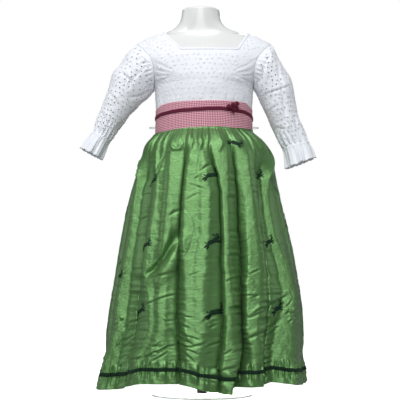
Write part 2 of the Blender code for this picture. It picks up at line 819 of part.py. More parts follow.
def plain_rings(rows, angles):
    """Upright oval sections of the form."""
    rings = []
    for z, half_width, half_depth, middle_x in rows:
        ring = []
        for angle in angles:
            turn = math.radians(angle)
            x = middle_x + half_width * math.sin(turn)
            ring.append(Vector((x, -half_depth * math.cos(turn), z)))
        rings.append(ring)
    return rings


def form_rings():
    """The form's sections upwards: hips, then just inside the bodice, then the neck."""
    angles = even_turns(FORM_COLUMNS)
    inside = []
    for row in BODY:
        ring = [ring_point(angle, row[0]) for angle in angles]
        inset = row[BODY_COLUMNS.index("form_inset")]
        inside.append([point - body_normal(point) * inset for point in ring])
    return plain_rings(FORM_HIPS, angles) + inside + plain_rings(FORM_NECK, angles)


def build_form(material):
    """A closed loft: no arms, a rounded foot and a flat top to the neck."""
    rings = form_rings()
    across = FORM_COLUMNS
    corners = [point * MM for ring in rings for point in ring]
    faces = [tuple(reversed(range(across)))]
    for r in range(len(rings) - 1):
        for c in range(across):
            right = (c + 1) % across
            low = r * across
            high = low + across
            faces.append((low + c, low + right, high + right, high + c))
    faces.append(tuple(range((len(rings) - 1) * across, len(rings) * across)))
    mesh = bpy.data.meshes.new("dress_form")
    mesh.from_pydata(corners, [], faces)
    mesh.shade_smooth()
    mesh.set_sharp_from_angle(angle=math.radians(40))
    place(bpy.data.objects.new("dress_form", mesh), material, dress_axis)


def add_cylinder(name, radius, low, high, material, vertices, bevel=0.0):
    bpy.ops.mesh.primitive_cylinder_add(
        vertices=vertices, radius=radius * MM, depth=(high - low) * MM
    )
    obj = bpy.context.object
    obj.users_collection[0].objects.unlink(obj)
    obj.name = name
    obj.data.name = name
    obj.location = (0, 0, (low + high) / 2 * MM)
    obj.data.shade_smooth()
    obj.data.set_sharp_from_angle(angle=math.radians(40))
    if bevel:
        rounded = obj.modifiers.new("edge", "BEVEL")
        rounded.width = bevel * MM
        rounded.segments = 1
        rounded.limit_method = "ANGLE"
    return place(obj, material)


def build_stand(black, white):
    form_foot = FORM_HIPS[0][0]
    add_cylinder("stand_pole", POLE_RADIUS, PLATE_THICKNESS + SEAM, form_foot - SEAM, black, 24)
    add_cylinder("stand_plate", PLATE_RADIUS, 0, PLATE_THICKNESS, white, 40, bevel=1.0)


for item in list(bpy.data.objects):
    bpy.data.objects.remove(item)
dress = bpy.data.collections.new("dirndl_dress_on_form")
bpy.context.scene.collection.children.link(dress)
dress_axis = bpy.data.objects.new("dress_axis", None)
dress_axis.location = (DRESS_AXIS_X * MM, 0, 0)
dress.objects.link(dress_axis)

cotton = new_material("eyelet_cotton", (0.84, 0.86, 0.9), 0.9)
gingham = new_material("gingham", (0.58, 0.26, 0.34), 0.85)
burgundy = new_material("burgundy_velvet", (0.11, 0.012, 0.03), 0.8)
taffeta = new_material("green_taffeta", (0.13, 0.36, 0.13), 0.35)
dark_velvet = new_material("dark_green_velvet", (0.012, 0.03, 0.018), 0.8)
thread = new_material("pale_thread", (0.8, 0.74, 0.72), 0.8)
gloss_white = new_material("form_white", (0.86, 0.88, 0.87), 0.25)
black_metal = new_material("pole_black", (0.02, 0.02, 0.02), 0.4)
white_metal = new_material("plate_white", (0.9, 0.9, 0.9), 0.4)

panel_grids = build_bodice(cotton)
build_neck_binding(panel_grids, cotton)
build_sleeves(cotton)
build_waistband(gingham, burgundy)
build_bow(burgundy)
build_cord_loops(thread)
build_skirt(taffeta, dark_velvet)
build_form(gloss_white)
build_stand(black_metal, white_metal)
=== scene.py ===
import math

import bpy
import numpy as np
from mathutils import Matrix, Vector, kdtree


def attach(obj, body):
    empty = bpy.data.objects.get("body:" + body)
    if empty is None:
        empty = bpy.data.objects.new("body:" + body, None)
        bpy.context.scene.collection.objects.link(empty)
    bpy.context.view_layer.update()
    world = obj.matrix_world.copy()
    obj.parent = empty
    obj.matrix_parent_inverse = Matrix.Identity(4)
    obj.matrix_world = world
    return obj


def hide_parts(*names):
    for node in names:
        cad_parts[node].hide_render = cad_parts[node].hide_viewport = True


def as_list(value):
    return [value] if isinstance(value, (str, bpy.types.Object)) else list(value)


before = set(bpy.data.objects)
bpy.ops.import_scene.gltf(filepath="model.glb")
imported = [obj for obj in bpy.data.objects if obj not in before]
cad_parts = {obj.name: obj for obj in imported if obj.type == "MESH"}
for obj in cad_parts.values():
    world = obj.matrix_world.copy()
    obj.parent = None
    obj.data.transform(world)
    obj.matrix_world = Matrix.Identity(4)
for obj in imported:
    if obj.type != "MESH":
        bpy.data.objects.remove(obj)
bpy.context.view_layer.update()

# Looks of a child's dirndl on a limbless dress form. The cloth pieces repeat the shapes of the
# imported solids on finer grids, with creases, eyelets and embroidery, and with deeper and sharper
# folds in the skirt. Tables are in millimetres and degrees around the dress's own upright axis:
# an angle is 0 at the front centre, 90 at the viewer's right side seam and 180 at the back centre.

MM = 0.001
UV_UNIT = 100.0

# A dark and a light stripe of the gingham together
CHECK_SIZE = 3.3

# Thickness of the cloth
COTTON_WALL = 0.6
BAND_WALL = 1.4
LOOP_WALL = 0.7
TAIL_WALL = 0.6

DRESS_AXIS = np.array((4.0, 0.0, 0.0))

ARMHOLE_HEIGHT = 654.5
ARMHOLE_RISE = 44.0
NECK_POINT_LEFT = 80.0
NECK_POINT_RIGHT = 88.0
FRONT_NECK = {"height": 679.0, "left": 45.0, "right": 66.0}
BACK_NECK = {"height": 702.0, "left": 62.0, "right": 62.0}

BAND_TOP = (569.0, 4.0, 1.0)
BAND_BOTTOM = (524.5, 2.0, -1.0)
RIBBON_LEVEL = (553.5, -1.0, 0.0)
RIBBON_SIDE_DIP = 2.8
RIBBON_WIDTH = 7.0
BAND_OUT = 0.6

GATHERS = 32
GATHER_AT_SEAM = 1.5
GATHER_FULL = 5.0
GATHER_FADE = 52.0
HEM_NOMINAL = 27.0
HEM_REACH = 150.0
HEM_RIBBON_MIDDLE = 54.5

CUFF_WAVES = 9
CUFF_WAVE_DEPTH = 3.2

BODY_COLUMNS = ("height", "half_width", "front", "back", "form_inset")
BODY = (
    (515.0, 97.0, 72.0, 68.0, 3.0),
    (545.0, 96.0, 72.0, 68.0, 3.0),
    (568.0, 96.0, 73.0, 69.0, 3.0),
    (590.0, 97.5, 75.0, 71.0, 3.0),
    (610.5, 98.5, 77.0, 73.0, 4.5),
    (623.0, 108.0, 77.0, 74.0, 6.5),
    (638.0, 122.0, 75.0, 74.0, 5.0),
    (654.5, 136.0, 72.0, 72.0, 4.0),
    (668.0, 143.5, 68.0, 69.0, 4.0),
    (684.0, 143.5, 60.0, 62.0, 3.5),
    (698.5, 134.0, 48.5, 51.0, 3.0),
    (708.0, 117.0, 42.5, 44.0, 3.0),
    (716.0, 98.0, 38.5, 40.0, 3.0),
    (720.0, 80.0, 37.5, 39.0, 3.0),
)

# Half width of the bodice at the armhole seam: height, half width
ARMHOLE = (
    (610.5, 98.5),
    (624.0, 97.5),
    (640.0, 98.5),
    (654.5, 101.5),
    (668.0, 108.0),
    (684.0, 121.0),
    (698.5, 134.0),
)

# Form below the waist and above the shoulders: height, half width, half depth, middle x
FORM_HIPS = (
    (391.5, 30.0, 22.0, -2.0),
    (395.0, 58.0, 44.0, -1.0),
    (403.0, 80.0, 63.0, 0.0),
    (418.0, 96.0, 77.0, 0.0),
    (440.0, 103.0, 83.0, 0.0),
    (470.0, 103.0, 82.0, 0.0),
    (500.0, 98.0, 75.0, 0.0),
)
FORM_NECK = (
    (722.5, 73.0, 34.0, -1.0),
    (727.0, 62.5, 34.2, -2.5),
    (733.0, 52.5, 35.0, -4.0),
    (741.0, 44.5, 36.0, -5.5),
    (750.0, 40.5, 36.5, -6.0),
    (760.0, 38.5, 36.5, -6.0),
    (766.5, 38.0, 36.0, -6.0),
    (768.0, 36.5, 34.5, -6.0),
)

# Sleeve and cuff rings: x and z of the outer edge, x and z of the inner edge, how far the ring's
# middle comes forward, and its half depth
SLEEVE_RIGHT = (
    (139.5, 690.5, 100.5, 606.0, 0.0, 48.0),
    (148.0, 671.5, 104.5, 599.0, 1.0, 48.0),
    (159.0, 652.0, 109.5, 589.5, 2.0, 46.0),
    (172.0, 632.0, 115.5, 576.0, 3.0, 43.0),
    (178.0, 610.0, 121.0, 562.0, 4.0, 40.0),
    (182.0, 586.0, 128.0, 547.5, 5.0, 37.0),
    (186.0, 562.0, 135.5, 531.0, 6.0, 34.0),
    (194.5, 536.0, 143.5, 513.0, 8.0, 30.0),
    (206.5, 503.0, 156.0, 489.0, 10.0, 26.0),
)
SLEEVE_LEFT = (
    (140.5, 691.5, 101.0, 606.0, 0.0, 48.0),
    (151.5, 681.5, 105.5, 599.0, 1.0, 48.0),
    (165.0, 662.5, 113.0, 590.0, 2.0, 46.0),
    (180.0, 643.0, 125.0, 579.0, 3.0, 43.0),
    (187.0, 623.0, 135.5, 568.0, 4.0, 40.0),
    (193.0, 601.0, 147.5, 557.0, 5.0, 37.0),
    (203.0, 576.0, 158.5, 541.5, 6.0, 34.0),
    (211.0, 551.0, 172.0, 525.0, 8.0, 31.0),
    (218.5, 523.0, 187.0, 502.5, 10.0, 28.0),
)
CUFF_RIGHT = (
    (206.5, 503.0, 156.0, 489.0, 10.0, 26.0),
    (214.0, 487.0, 160.0, 469.0, 11.0, 30.0),
    (219.0, 470.0, 163.0, 449.0, 12.0, 34.0),
)
CUFF_LEFT = (
    (218.5, 523.0, 187.0, 502.5, 10.0, 28.0),
    (233.0, 506.0, 194.0, 486.0, 11.0, 31.0),
    (243.0, 488.5, 203.0, 467.5, 12.0, 34.0),
)

# Skirt section at each height, out to the ridges of its folds
SKIRT_COLUMNS = ("height", "left", "right", "front", "back")
SKIRT = (
    (524.5, 97.3, 97.3, 72.5, 68.5),
    (523.0, 97.3, 97.3, 72.5, 68.5),
    (514.0, 101.0, 105.0, 79.0, 76.0),
    (503.0, 109.0, 117.0, 88.0, 88.0),
    (489.0, 117.5, 127.5, 97.0, 98.0),
    (468.0, 124.5, 138.0, 104.0, 107.0),
    (438.0, 135.5, 143.5, 111.0, 116.0),
    (398.0, 148.0, 152.0, 119.0, 126.0),
    (348.0, 159.5, 163.0, 128.0, 136.0),
    (288.0, 170.5, 178.0, 139.0, 147.0),
    (228.0, 180.0, 188.0, 149.0, 156.0),
    (168.0, 190.0, 197.0, 158.0, 163.0),
    (108.0, 198.0, 200.0, 164.0, 168.0),
    (58.0, 206.0, 202.0, 168.0, 172.0),
    (27.0, 213.0, 205.0, 171.0, 175.0),
)

# Large folds of the skirt as facets. The cloth lies nearly flat from a facet's left edge to its
# right edge, then sinks into a valley before the next facet. Each row has the angles of the left
# edge, the right edge and the valley at each height, then the valley's depth at the waist, the
# middle and the hem, and how sharp its line is, from 0 to 1.
FACET_HEIGHTS = (474.0, 385.0, 316.0, 256.0, 197.0, 138.0, 83.0)
VALLEY_HEIGHTS = (500.0, 300.0, 27.0)
FACETS = (
    (
        (-96.0, -96.0, -96.0, -96.0, -96.0, -96.0, -96.0),
        (-86.0, -86.0, -86.0, -86.0, -86.0, -86.0, -86.0),
        (-80.0, -74.0, -73.0, -74.0, -75.0, -76.0, -78.0),
        (3.0, 9.0, 13.0),
        0.4,
    ),
    (
        (-76.0, -65.0, -60.6, -62.1, -64.0, -62.0, -69.0),
        (-64.1, -53.0, -51.4, -51.9, -50.6, -50.7, -54.0),
        (-54.6, -44.5, -43.5, -43.1, -42.4, -42.1, -45.2),
        (4.0, 9.0, 13.0),
        0.9,
    ),
    (
        (-48.9, -38.5, -39.4, -41.3, -35.4, -32.7, -39.1),
        (-44.6, -34.8, -32.7, -33.3, -29.6, -27.8, -32.5),
        (-37.0, -31.3, -30.4, -30.0, -29.3, -27.7, -32.0),
        (3.0, 3.5, 0.5),
        0.3,
    ),
    (
        (-31.4, -27.9, -28.0, -27.5, -29.0, -27.5, -31.8),
        (-25.1, -23.2, -24.3, -21.5, -23.2, -22.6, -25.1),
        (-18.3, -17.6, -17.3, -17.0, -16.5, -15.5, -13.9),
        (5.0, 16.0, 22.0),
        0.9,
    ),
    (
        (-12.7, -15.4, -14.6, -13.0, -11.7, -11.1, -9.1),
        (-4.2, -10.2, -7.3, -7.5, -7.1, -6.7, -7.0),
        (-3.6, -4.8, -4.6, -6.9, -6.5, -6.2, -6.7),
        (1.5, 2.0, 1.0),
        0.5,
    ),
    (
        (-2.9, -1.5, -1.5, -6.0, -5.9, -5.6, -6.4),
        (-1.0, 4.0, 2.8, 0.6, -1.3, -0.7, -3.8),
        (4.0, 10.0, 9.8, 9.0, 8.9, 9.0, 7.0),
        (4.0, 12.0, 16.0),
        0.9,
    ),
    (
        (6.3, 11.7, 11.2, 10.9, 10.9, 11.1, 9.3),
        (19.7, 17.5, 16.4, 15.1, 16.0, 15.4, 15.9),
        (24.1, 22.8, 21.5, 21.3, 20.1, 19.6, 18.3),
        (6.0, 26.0, 40.0),
        0.9,
    ),
    (
        (29.7, 31.7, 28.1, 26.5, 23.7, 23.0, 27.0),
        (36.9, 37.9, 36.6, 36.4, 34.1, 30.5, 31.5),
        (45.1, 41.3, 39.2, 39.2, 37.9, 35.2, 32.9),
        (4.0, 9.0, 13.0),
        0.9,
    ),
    (
        (59.0, 45.9, 44.6, 48.3, 50.1, 42.8, 38.3),
        (78.0, 54.4, 53.1, 60.9, 64.3, 59.0, 58.7),
        (82.0, 70.0, 70.0, 73.0, 75.0, 74.0, 73.0),
        (3.0, 9.0, 14.0),
        0.4,
    ),
    (
        (86.0, 86.0, 86.0, 86.0, 86.0, 86.0, 86.0),
        (95.0, 95.0, 95.0, 95.0, 95.0, 95.0, 95.0),
        (101.0, 101.0, 102.0, 102.0, 102.0, 103.0, 103.0),
        (4.0, 10.0, 15.0),
        0.5,
    ),
)

# A facet turns to the front, all but FACET_TURN degrees of the way and FACET_MOST at most. Its
# edges rise or sink by FACET_RISE at most, or by more at the sides, and are ragged by about
# FACET_STRAY degrees. A valley as sharp as SHARP_FROM has a slit, and the fold's edge hangs over
# it by FOLD_ROLL, and low down on the overlap's row by OVERLAP_ROLL more.
FACET_TURN = 6.0
FACET_MOST = 56.0
FACET_RISE = 3.8
FACET_STRAY = 0.75
SHARP_FROM = 0.6
SLIT_DEPTH = 9.0
SLIT_WIDTH = 1.5
FOLD_ROLL = 6.5
OVERLAP_ROW = 6
OVERLAP_ROLL = 8.0

# How far the waistband's edges and its ribbon stray from level rings: angle, height
BAND_TOP_STRAY = (
    (-180.0, 0.0), (-120.0, -1.0), (-90.0, -1.0), (-74.0, 0.5), (-51.0, 6.0), (-28.0, 5.6), (3.0, 4.2),
    (26.0, 3.2), (44.0, 2.7), (58.0, 1.2), (72.0, -6.0), (90.0, -7.0), (130.0, -1.0), (180.0, 0.0),
)
BAND_BOTTOM_STRAY = (
    (-180.0, 0.0), (-130.0, -3.0), (-90.0, -6.2), (-74.0, -6.0), (-51.0, -5.0), (-37.0, -2.7), (-12.0, -0.7),
    (18.0, 0.0), (34.0, -1.7), (55.0, -1.7), (90.0, -1.0), (140.0, 0.0), (180.0, 0.0),
)
RIBBON_STRAY = (
    (-180.0, 0.0), (-120.0, -1.0), (-90.0, -2.5), (-74.0, -2.2), (-51.0, 0.0), (-28.0, 0.3), (3.0, 2.0),
    (26.0, 4.2), (44.0, 4.2), (61.0, 3.7), (72.0, 2.0), (90.0, -2.5), (130.0, -1.0), (180.0, 0.0),
)

# Height of the hem's edge round the skirt: angle, height
HEM = (
    (-180.0, 24.0),
    (-150.0, 30.0),
    (-120.0, 21.0),
    (-90.0, 20.0),
    (-70.0, 17.5),
    (-52.0, 19.0),
    (-44.0, 26.0),
    (-34.0, 33.5),
    (-24.0, 34.0),
    (-11.0, 33.0),
    (0.0, 22.5),
    (6.0, 18.5),
    (11.0, 16.0),
    (13.0, 17.0),
    (16.5, 27.0),
    (29.0, 28.5),
    (38.0, 34.0),
    (49.0, 31.0),
    (71.0, 26.0),
    (90.0, 27.0),
    (130.0, 31.0),
    (160.0, 20.0),
    (180.0, 24.0),
)

# Groups of small creases low on the front: how many, from angle, to angle, from height, to
# height, and which way they lean
CREASE_GROUPS = (
    (16, -66.0, -40.0, 66.0, 150.0, 1.0),
    (9, -36.0, -20.0, 70.0, 120.0, 1.0),
    (13, -24.0, -10.0, 72.0, 165.0, -1.0),
    (8, -4.0, 14.0, 66.0, 150.0, 1.0),
    (9, 20.0, 36.0, 95.0, 300.0, 1.0),
    (8, 36.0, 62.0, 66.0, 180.0, 1.0),
)

# Sharp creases of the skirt's front: width, depth, then angle and height along the line
SKIRT_CREASES = (
    (3.0, 1.6, ((-3.4, 431.8), (5.2, 450.3))),
    (2.5, 1.2, ((-7.4, 417.4), (-1.0, 428.9))),
    (3.5, 2.0, ((-24.8, 347.5), (-18.6, 360.4))),
    (2.5, 1.2, ((-9.8, 232.1), (-2.6, 243.2))),
    (3.0, 1.8, ((11.9, 222.8), (20.4, 234.1))),
    (3.0, 2.0, ((-37.4, 178.0), (-26.6, 191.2), (-17.3, 200.6))),
    (3.5, 2.0, ((-45.6, 93.0), (-39.3, 106.8), (-33.2, 116.6))),
    (3.0, 1.8, ((-8.8, 99.5), (1.9, 112.4))),
    (4.0, 2.6, ((22.7, 154.2), (30.9, 163.2), (41.0, 181.6), (56.4, 198.4))),
    (4.5, 3.2, ((21.2, 113.7), (29.8, 124.3), (40.0, 138.5), (48.0, 153.1))),
    (3.5, 2.2, ((3.0, 54.0), (9.3, 68.5), (17.0, 75.4))),
    (3.0, 1.5, ((20.9, 196.9), (33.2, 198.6))),
    (11.0, 12.5, ((-18.4, 326.0), (-20.6, 299.0), (-25.6, 269.0), (-32.2, 244.5), (-39.7, 232.5))),
    (4.0, 3.0, ((-39.7, 230.5), (-30.7, 232.5), (-22.5, 238.0))),
    (4.0, 3.0, ((-37.2, 485.7), (-41.2, 453.8), (-42.0, 418.7))),
    (3.0, 1.0, ((-12.3, 409.9), (2.0, 396.2))),
    (3.0, 1.0, ((-13.1, 377.3), (-3.1, 392.4))),
    (3.0, 1.2, ((-55.3, 391.6), (-44.5, 393.8))),
    (3.0, 1.4, ((-50.6, 340.4), (-42.3, 354.8))),
    (3.0, 1.6, ((-45.9, 170.2), (-38.9, 161.1))),
    (3.0, 1.2, ((22.1, 252.8), (28.9, 254.9))),
    (3.5, 1.6, ((52.9, 162.3), (74.5, 168.8))),
    (4.0, 2.2, ((-14.6, 134.2), (-7.7, 106.9))),
    (4.0, 3.0, ((-18.7, 134.1), (-15.4, 106.6), (-13.8, 64.6))),
    (3.0, 1.6, ((-12.3, 123.3), (-2.4, 116.1))),
)

# Little loops of slack cloth under the waistband: width, height above the cloth, then the line
WAIST_LOOPS = (
    (
        3.2,
        3.2,
        ((-35.5, 512.0), (-33.8, 492.2), (-28.4, 478.5), (-23.0, 478.9), (-21.4, 492.0), (-24.1, 510.0)),
    ),
    (3.0, 2.4, ((-12.8, 474.2), (-10.5, 494.0), (-14.9, 512.0))),
    (3.0, 2.6, ((-7.3, 512.0), (-1.1, 493.7), (-4.7, 476.0))),
    (3.0, 2.2, ((-74.7, 490.3), (-60.0, 500.0), (-50.5, 514.0))),
    (3.0, 2.2, ((68.4, 514.0), (60.3, 487.1), (65.5, 470.0))),
    (3.0, 2.4, ((12.0, 512.0), (16.0, 492.0), (11.0, 470.0))),
)

# Embroidered animals: angle, height, size, lean in degrees
MOTIFS = (
    (-44.8, 417.0, 1.0, 20.0),
    (4.3, 425.0, 1.15, 10.0),
    (27.8, 490.0, 1.1, -34.0),
    (50.5, 430.0, 1.0, 5.0),
    (-40.8, 293.0, 1.05, 15.0),
    (4.1, 297.0, 1.15, 20.0),
    (45.5, 300.0, 1.1, 10.0),
    (-66.7, 235.0, 1.0, 0.0),
    (-39.6, 168.0, 1.05, 25.0),
    (5.2, 167.0, 1.35, 12.0),
    (45.0, 172.0, 1.25, 10.0),
    (88.0, 470.0, 1.0, 8.0),
    (90.0, 345.0, 1.1, 12.0),
    (92.0, 215.0, 1.1, 6.0),
    (91.0, 105.0, 1.1, 14.0),
    (133.0, 425.0, 1.1, 12.0),
    (136.0, 297.0, 1.1, 8.0),
    (135.0, 170.0, 1.2, 15.0),
    (180.0, 470.0, 1.0, 6.0),
    (181.0, 360.0, 1.1, 12.0),
    (178.0, 232.0, 1.1, 10.0),
    (180.0, 110.0, 1.2, 4.0),
    (226.0, 425.0, 1.1, 12.0),
    (224.0, 297.0, 1.1, 10.0),
    (227.0, 170.0, 1.2, 7.0),
    (268.0, 360.0, 1.0, 9.0),
    (270.0, 130.0, 1.1, 12.0),
)

# A leaping stag, head to the right: each stroke's width, then its points
STAG = (
    (6.8, ((-6.2, -0.6), (-2.0, 0.2), (2.5, 0.9), (6.0, 2.4))),
    (4.4, ((5.0, 2.0), (7.2, 4.2), (8.8, 6.4))),
    (3.4, ((8.4, 6.3), (10.2, 6.6), (12.6, 5.6))),
    (1.5, ((8.8, 7.0), (7.6, 9.2), (8.0, 12.4))),
    (1.5, ((9.2, 7.2), (10.4, 9.6), (10.0, 12.8))),
    (1.3, ((7.7, 9.4), (5.4, 11.4))),
    (1.3, ((10.2, 9.8), (12.6, 11.8))),
    (2.5, ((5.2, 1.2), (9.0, 0.2), (13.0, 2.0))),
    (2.4, ((4.4, 0.2), (7.6, -2.6), (11.6, -3.4))),
    (3.2, ((-5.0, -1.0), (-8.6, -3.6), (-13.0, -4.6))),
    (3.0, ((-4.6, -1.8), (-6.6, -5.8), (-10.6, -8.6))),
    (2.0, ((-6.6, 0.4), (-9.2, 3.0))),
)

# Creases of the sleeves, in the front view: width, depth, then x and z along the line
SLEEVE_RIGHT_CREASES = (
    (3.4, 2.1, ((119.0, 592.0), (146.0, 600.0), (172.0, 611.0))),
    (5.0, 2.2, ((143.0, 662.0), (151.0, 612.0), (158.0, 572.0), (161.0, 533.0))),
    (3.5, 1.6, ((139.0, 529.0), (160.0, 524.0))),
    (4.0, 2.0, ((130.0, 671.0), (117.0, 640.0), (110.0, 612.0))),
    (4.0, 1.4, ((128.0, 560.0), (150.0, 575.0))),
    (4.0, 1.6, ((176.0, 560.0), (182.0, 530.0), (190.0, 505.0))),
)
SLEEVE_LEFT_CREASES = (
    (4.5, 2.2, ((-165.0, 638.0), (-142.0, 614.0))),
    (5.0, 2.4, ((-145.0, 553.0), (-165.0, 535.0), (-185.0, 514.0))),
    (4.0, 2.0, ((-107.0, 602.0), (-125.0, 590.0), (-147.0, 585.0))),
    (4.0, 1.6, ((-190.0, 600.0), (-170.0, 575.0), (-160.0, 560.0))),
    (3.5, 1.4, ((-205.0, 560.0), (-190.0, 540.0))),
    (4.0, 1.6, ((-120.0, 640.0), (-135.0, 625.0), (-150.0, 600.0))),
)


# Maths


class Curve:
    """A smooth curve through (at, value) pairs that never swings past them."""

    def __init__(self, pairs):
        pairs = sorted(pairs)
        self.at = np.array([pair[0] for pair in pairs], float)
        self.value = np.array([pair[1] for pair in pairs], float)
        rise = np.diff(self.value) / np.diff(self.at)
        before, after = rise[:-1], rise[1:]
        same_way = before * after > 0
        total = np.where(same_way, before + after, 1.0)
        inner = np.where(same_way, 2 * before * after / total, 0.0)
        self.slope = np.concatenate([rise[:1], inner, rise[-1:]])

    def __call__(self, at):
        at = np.clip(at, self.at[0], self.at[-1])
        i = np.clip(np.searchsorted(self.at, at, side="right") - 1, 0, len(self.at) - 2)
        width = self.at[i + 1] - self.at[i]
        t = (at - self.at[i]) / width
        start = self.value[i] * (1 + 2 * t) * (1 - t) ** 2 + self.slope[i] * width * t * (1 - t) ** 2
        end = self.value[i + 1] * t * t * (3 - 2 * t) - self.slope[i + 1] * width * t * t * (1 - t)
        return start + end


def table_curve(table, names, name):
    index = names.index(name)
    return Curve([(row[0], row[index]) for row in table])


def smooth_step(value):
    value = np.clip(value, 0.0, 1.0)
    return value * value * (3 - 2 * value)


def blend(a, b, t):
    return a + (b - a) * t


def lower(z, start, run):
    """Grows from 0 at one height to 1 at the end of a run below it."""
    return smooth_step((start - z) / run)


def wrapped(angle):
    return (angle + 180) % 360 - 180


def unit(vectors):
    """The same directions at length one."""
    return vectors / np.maximum(np.linalg.norm(vectors, axis=-1, keepdims=True), 1e-9)


def ripple(u, v, seed, size, count=9):
    """Smooth uneven waves from -1 to 1 over a surface, about that size in millimetres."""
    chance = np.random.RandomState(seed)
    total = np.zeros(np.broadcast(u, v).shape)
    for _ in range(count):
        turn = chance.uniform(0, 2 * math.pi)
        length = size * chance.uniform(0.7, 1.5)
        phase = chance.uniform(0, 2 * math.pi)
        total += np.sin((u * math.cos(turn) + v * math.sin(turn)) * 2 * math.pi / length + phase)
    return total / count * 1.8


def normals_of(points, closed=False):
    """Unit normals of a grid of points, outwards for rows up and columns anticlockwise."""
    up = np.gradient(points, axis=0)
    if closed:
        along = (np.roll(points, -1, axis=1) - np.roll(points, 1, axis=1)) / 2
    else:
        along = np.gradient(points, axis=1)
    return unit(np.cross(along, up))


def line_relief(u, v, lines, trough=True):
    """Relief of creases on a surface: a trough with a raised lip on its upper side, or a ridge."""
    total = np.zeros(np.broadcast(u, v).shape)
    for width, depth, points in lines:
        points = np.array(points, float)
        reach = 4 * width
        low = points.min(axis=0) - reach
        high = points.max(axis=0) + reach
        near = (u > low[0]) & (u < high[0]) & (v > low[1]) & (v < high[1])
        if not near.any():
            continue
        here = np.stack([u[near], v[near]], axis=-1)
        best = np.full(len(here), 1e9)
        side = np.zeros(len(here))
        share = np.zeros(len(here))
        lengths = np.linalg.norm(np.diff(points, axis=0), axis=1)
        passed = np.concatenate([[0], np.cumsum(lengths)]) / lengths.sum()
        for k, (a, b) in enumerate(zip(points, points[1:])):
            along = (b - a) / lengths[k]
            t = np.clip((here - a) @ along, 0, lengths[k])
            away = here - a - t[:, None] * along
            distance = np.linalg.norm(away, axis=1)
            closer = distance < best
            best = np.where(closer, distance, best)
            side = np.where(closer, away @ np.array((-along[1], along[0])), side)
            share = np.where(closer, passed[k] + t / lengths.sum(), share)
        taper = np.clip(np.sin(np.pi * np.clip(share, 0.02, 0.98)), 0, 1) ** 0.6
        if trough:
            shape = 0.5 * np.exp(-(((side - 1.4 * width) / (1.2 * width)) ** 2)) * (best < 3 * width)
            shape -= np.exp(-((best / (0.6 * width)) ** 2))
        else:
            shape = np.exp(-((best / width) ** 2))
        total[near] += depth * taper * shape
    return total


# Body, waistband and skirt surfaces

HALF_WIDTH = table_curve(BODY, BODY_COLUMNS, "half_width")
HALF_DEPTH = {side: table_curve(BODY, BODY_COLUMNS, side) for side in ("front", "back")}
ARMHOLE_WIDTH = Curve(ARMHOLE)
SKIRT_CURVES = {name: table_curve(SKIRT, SKIRT_COLUMNS, name) for name in SKIRT_COLUMNS[1:]}
HEM_HEIGHT = Curve(HEM)
BAND_TOP_CURVE = Curve(BAND_TOP_STRAY)
BAND_BOTTOM_CURVE = Curve(BAND_BOTTOM_STRAY)
RIBBON_CURVE = Curve(RIBBON_STRAY)


def armhole_z(step):
    return ARMHOLE_HEIGHT - ARMHOLE_RISE * np.cos(np.radians(step))


def body_point(x, z, side):
    """Points of the body's surface at x and height z, on its front or back."""
    y = HALF_DEPTH[side](z) * np.sqrt(np.maximum(0.0, 1 - (x / HALF_WIDTH(z)) ** 2))
    return np.stack([x, -y if side == "front" else y, z + 0 * x], axis=-1)


def ridge_height(x):
    """Height of the shoulder ridge: where the section above the armhole is as wide as x."""
    low = np.full(np.shape(x), armhole_z(180))
    high = np.full(np.shape(x), BODY[-1][0])
    for _ in range(30):
        middle = (low + high) / 2
        wider = HALF_WIDTH(middle) > x
        low = np.where(wider, middle, low)
        high = np.where(wider, high, middle)
    return low


def body_normal(points):
    """Outward directions of the body's surface at points on it."""
    x, y, z = points[..., 0], points[..., 1], points[..., 2]

    def deep_at(height):
        return np.where(y < 0, HALF_DEPTH["front"](height), HALF_DEPTH["back"](height))

    def reach(height):
        return (x / HALF_WIDTH(height)) ** 2 + (y / deep_at(height)) ** 2

    rise = (reach(z + 1) - reach(z - 1)) / 2
    return unit(np.stack([2 * x / HALF_WIDTH(z) ** 2, 2 * y / deep_at(z) ** 2, rise], axis=-1))


def ring_point(angle, z, out=0.0):
    """Points of the body's section at height z in a direction, moved out."""
    turn = np.radians(angle)
    wide = HALF_WIDTH(z) + out
    deep = np.where(np.cos(turn) > 0, HALF_DEPTH["front"](z), HALF_DEPTH["back"](z)) + out
    return np.stack([wide * np.sin(turn), -deep * np.cos(turn), z + 0 * turn], axis=-1)


def tilted(level, angle):
    mean, rise_right, rise_front = level
    turn = np.radians(angle)
    return mean + rise_right * np.sin(turn) + rise_front * np.cos(turn)


def band_top(angle):
    return tilted(BAND_TOP, angle) + BAND_TOP_CURVE(wrapped(angle))


def band_bottom(angle):
    return tilted(BAND_BOTTOM, angle) + BAND_BOTTOM_CURVE(wrapped(angle))


def ribbon_middle(angle):
    dip = RIBBON_SIDE_DIP * np.cos(np.radians(2 * angle))
    return tilted(RIBBON_LEVEL, angle) + dip + RIBBON_CURVE(wrapped(angle))


def band_point(angle, z, out=0.0):
    """Points on the waistband's straight outer side, moved out."""
    low = ring_point(angle, band_bottom(angle), BAND_OUT + out)
    high = ring_point(angle, band_top(angle), BAND_OUT + out)
    share = (z - low[..., 2]) / (high[..., 2] - low[..., 2])
    return low + (high - low) * share[..., None]


# Facets round the back: how many, the angle that they start from and the degrees that they share
BACK_FACETS = 10
BACK_START = 105.0
BACK_SPAN = 168.0


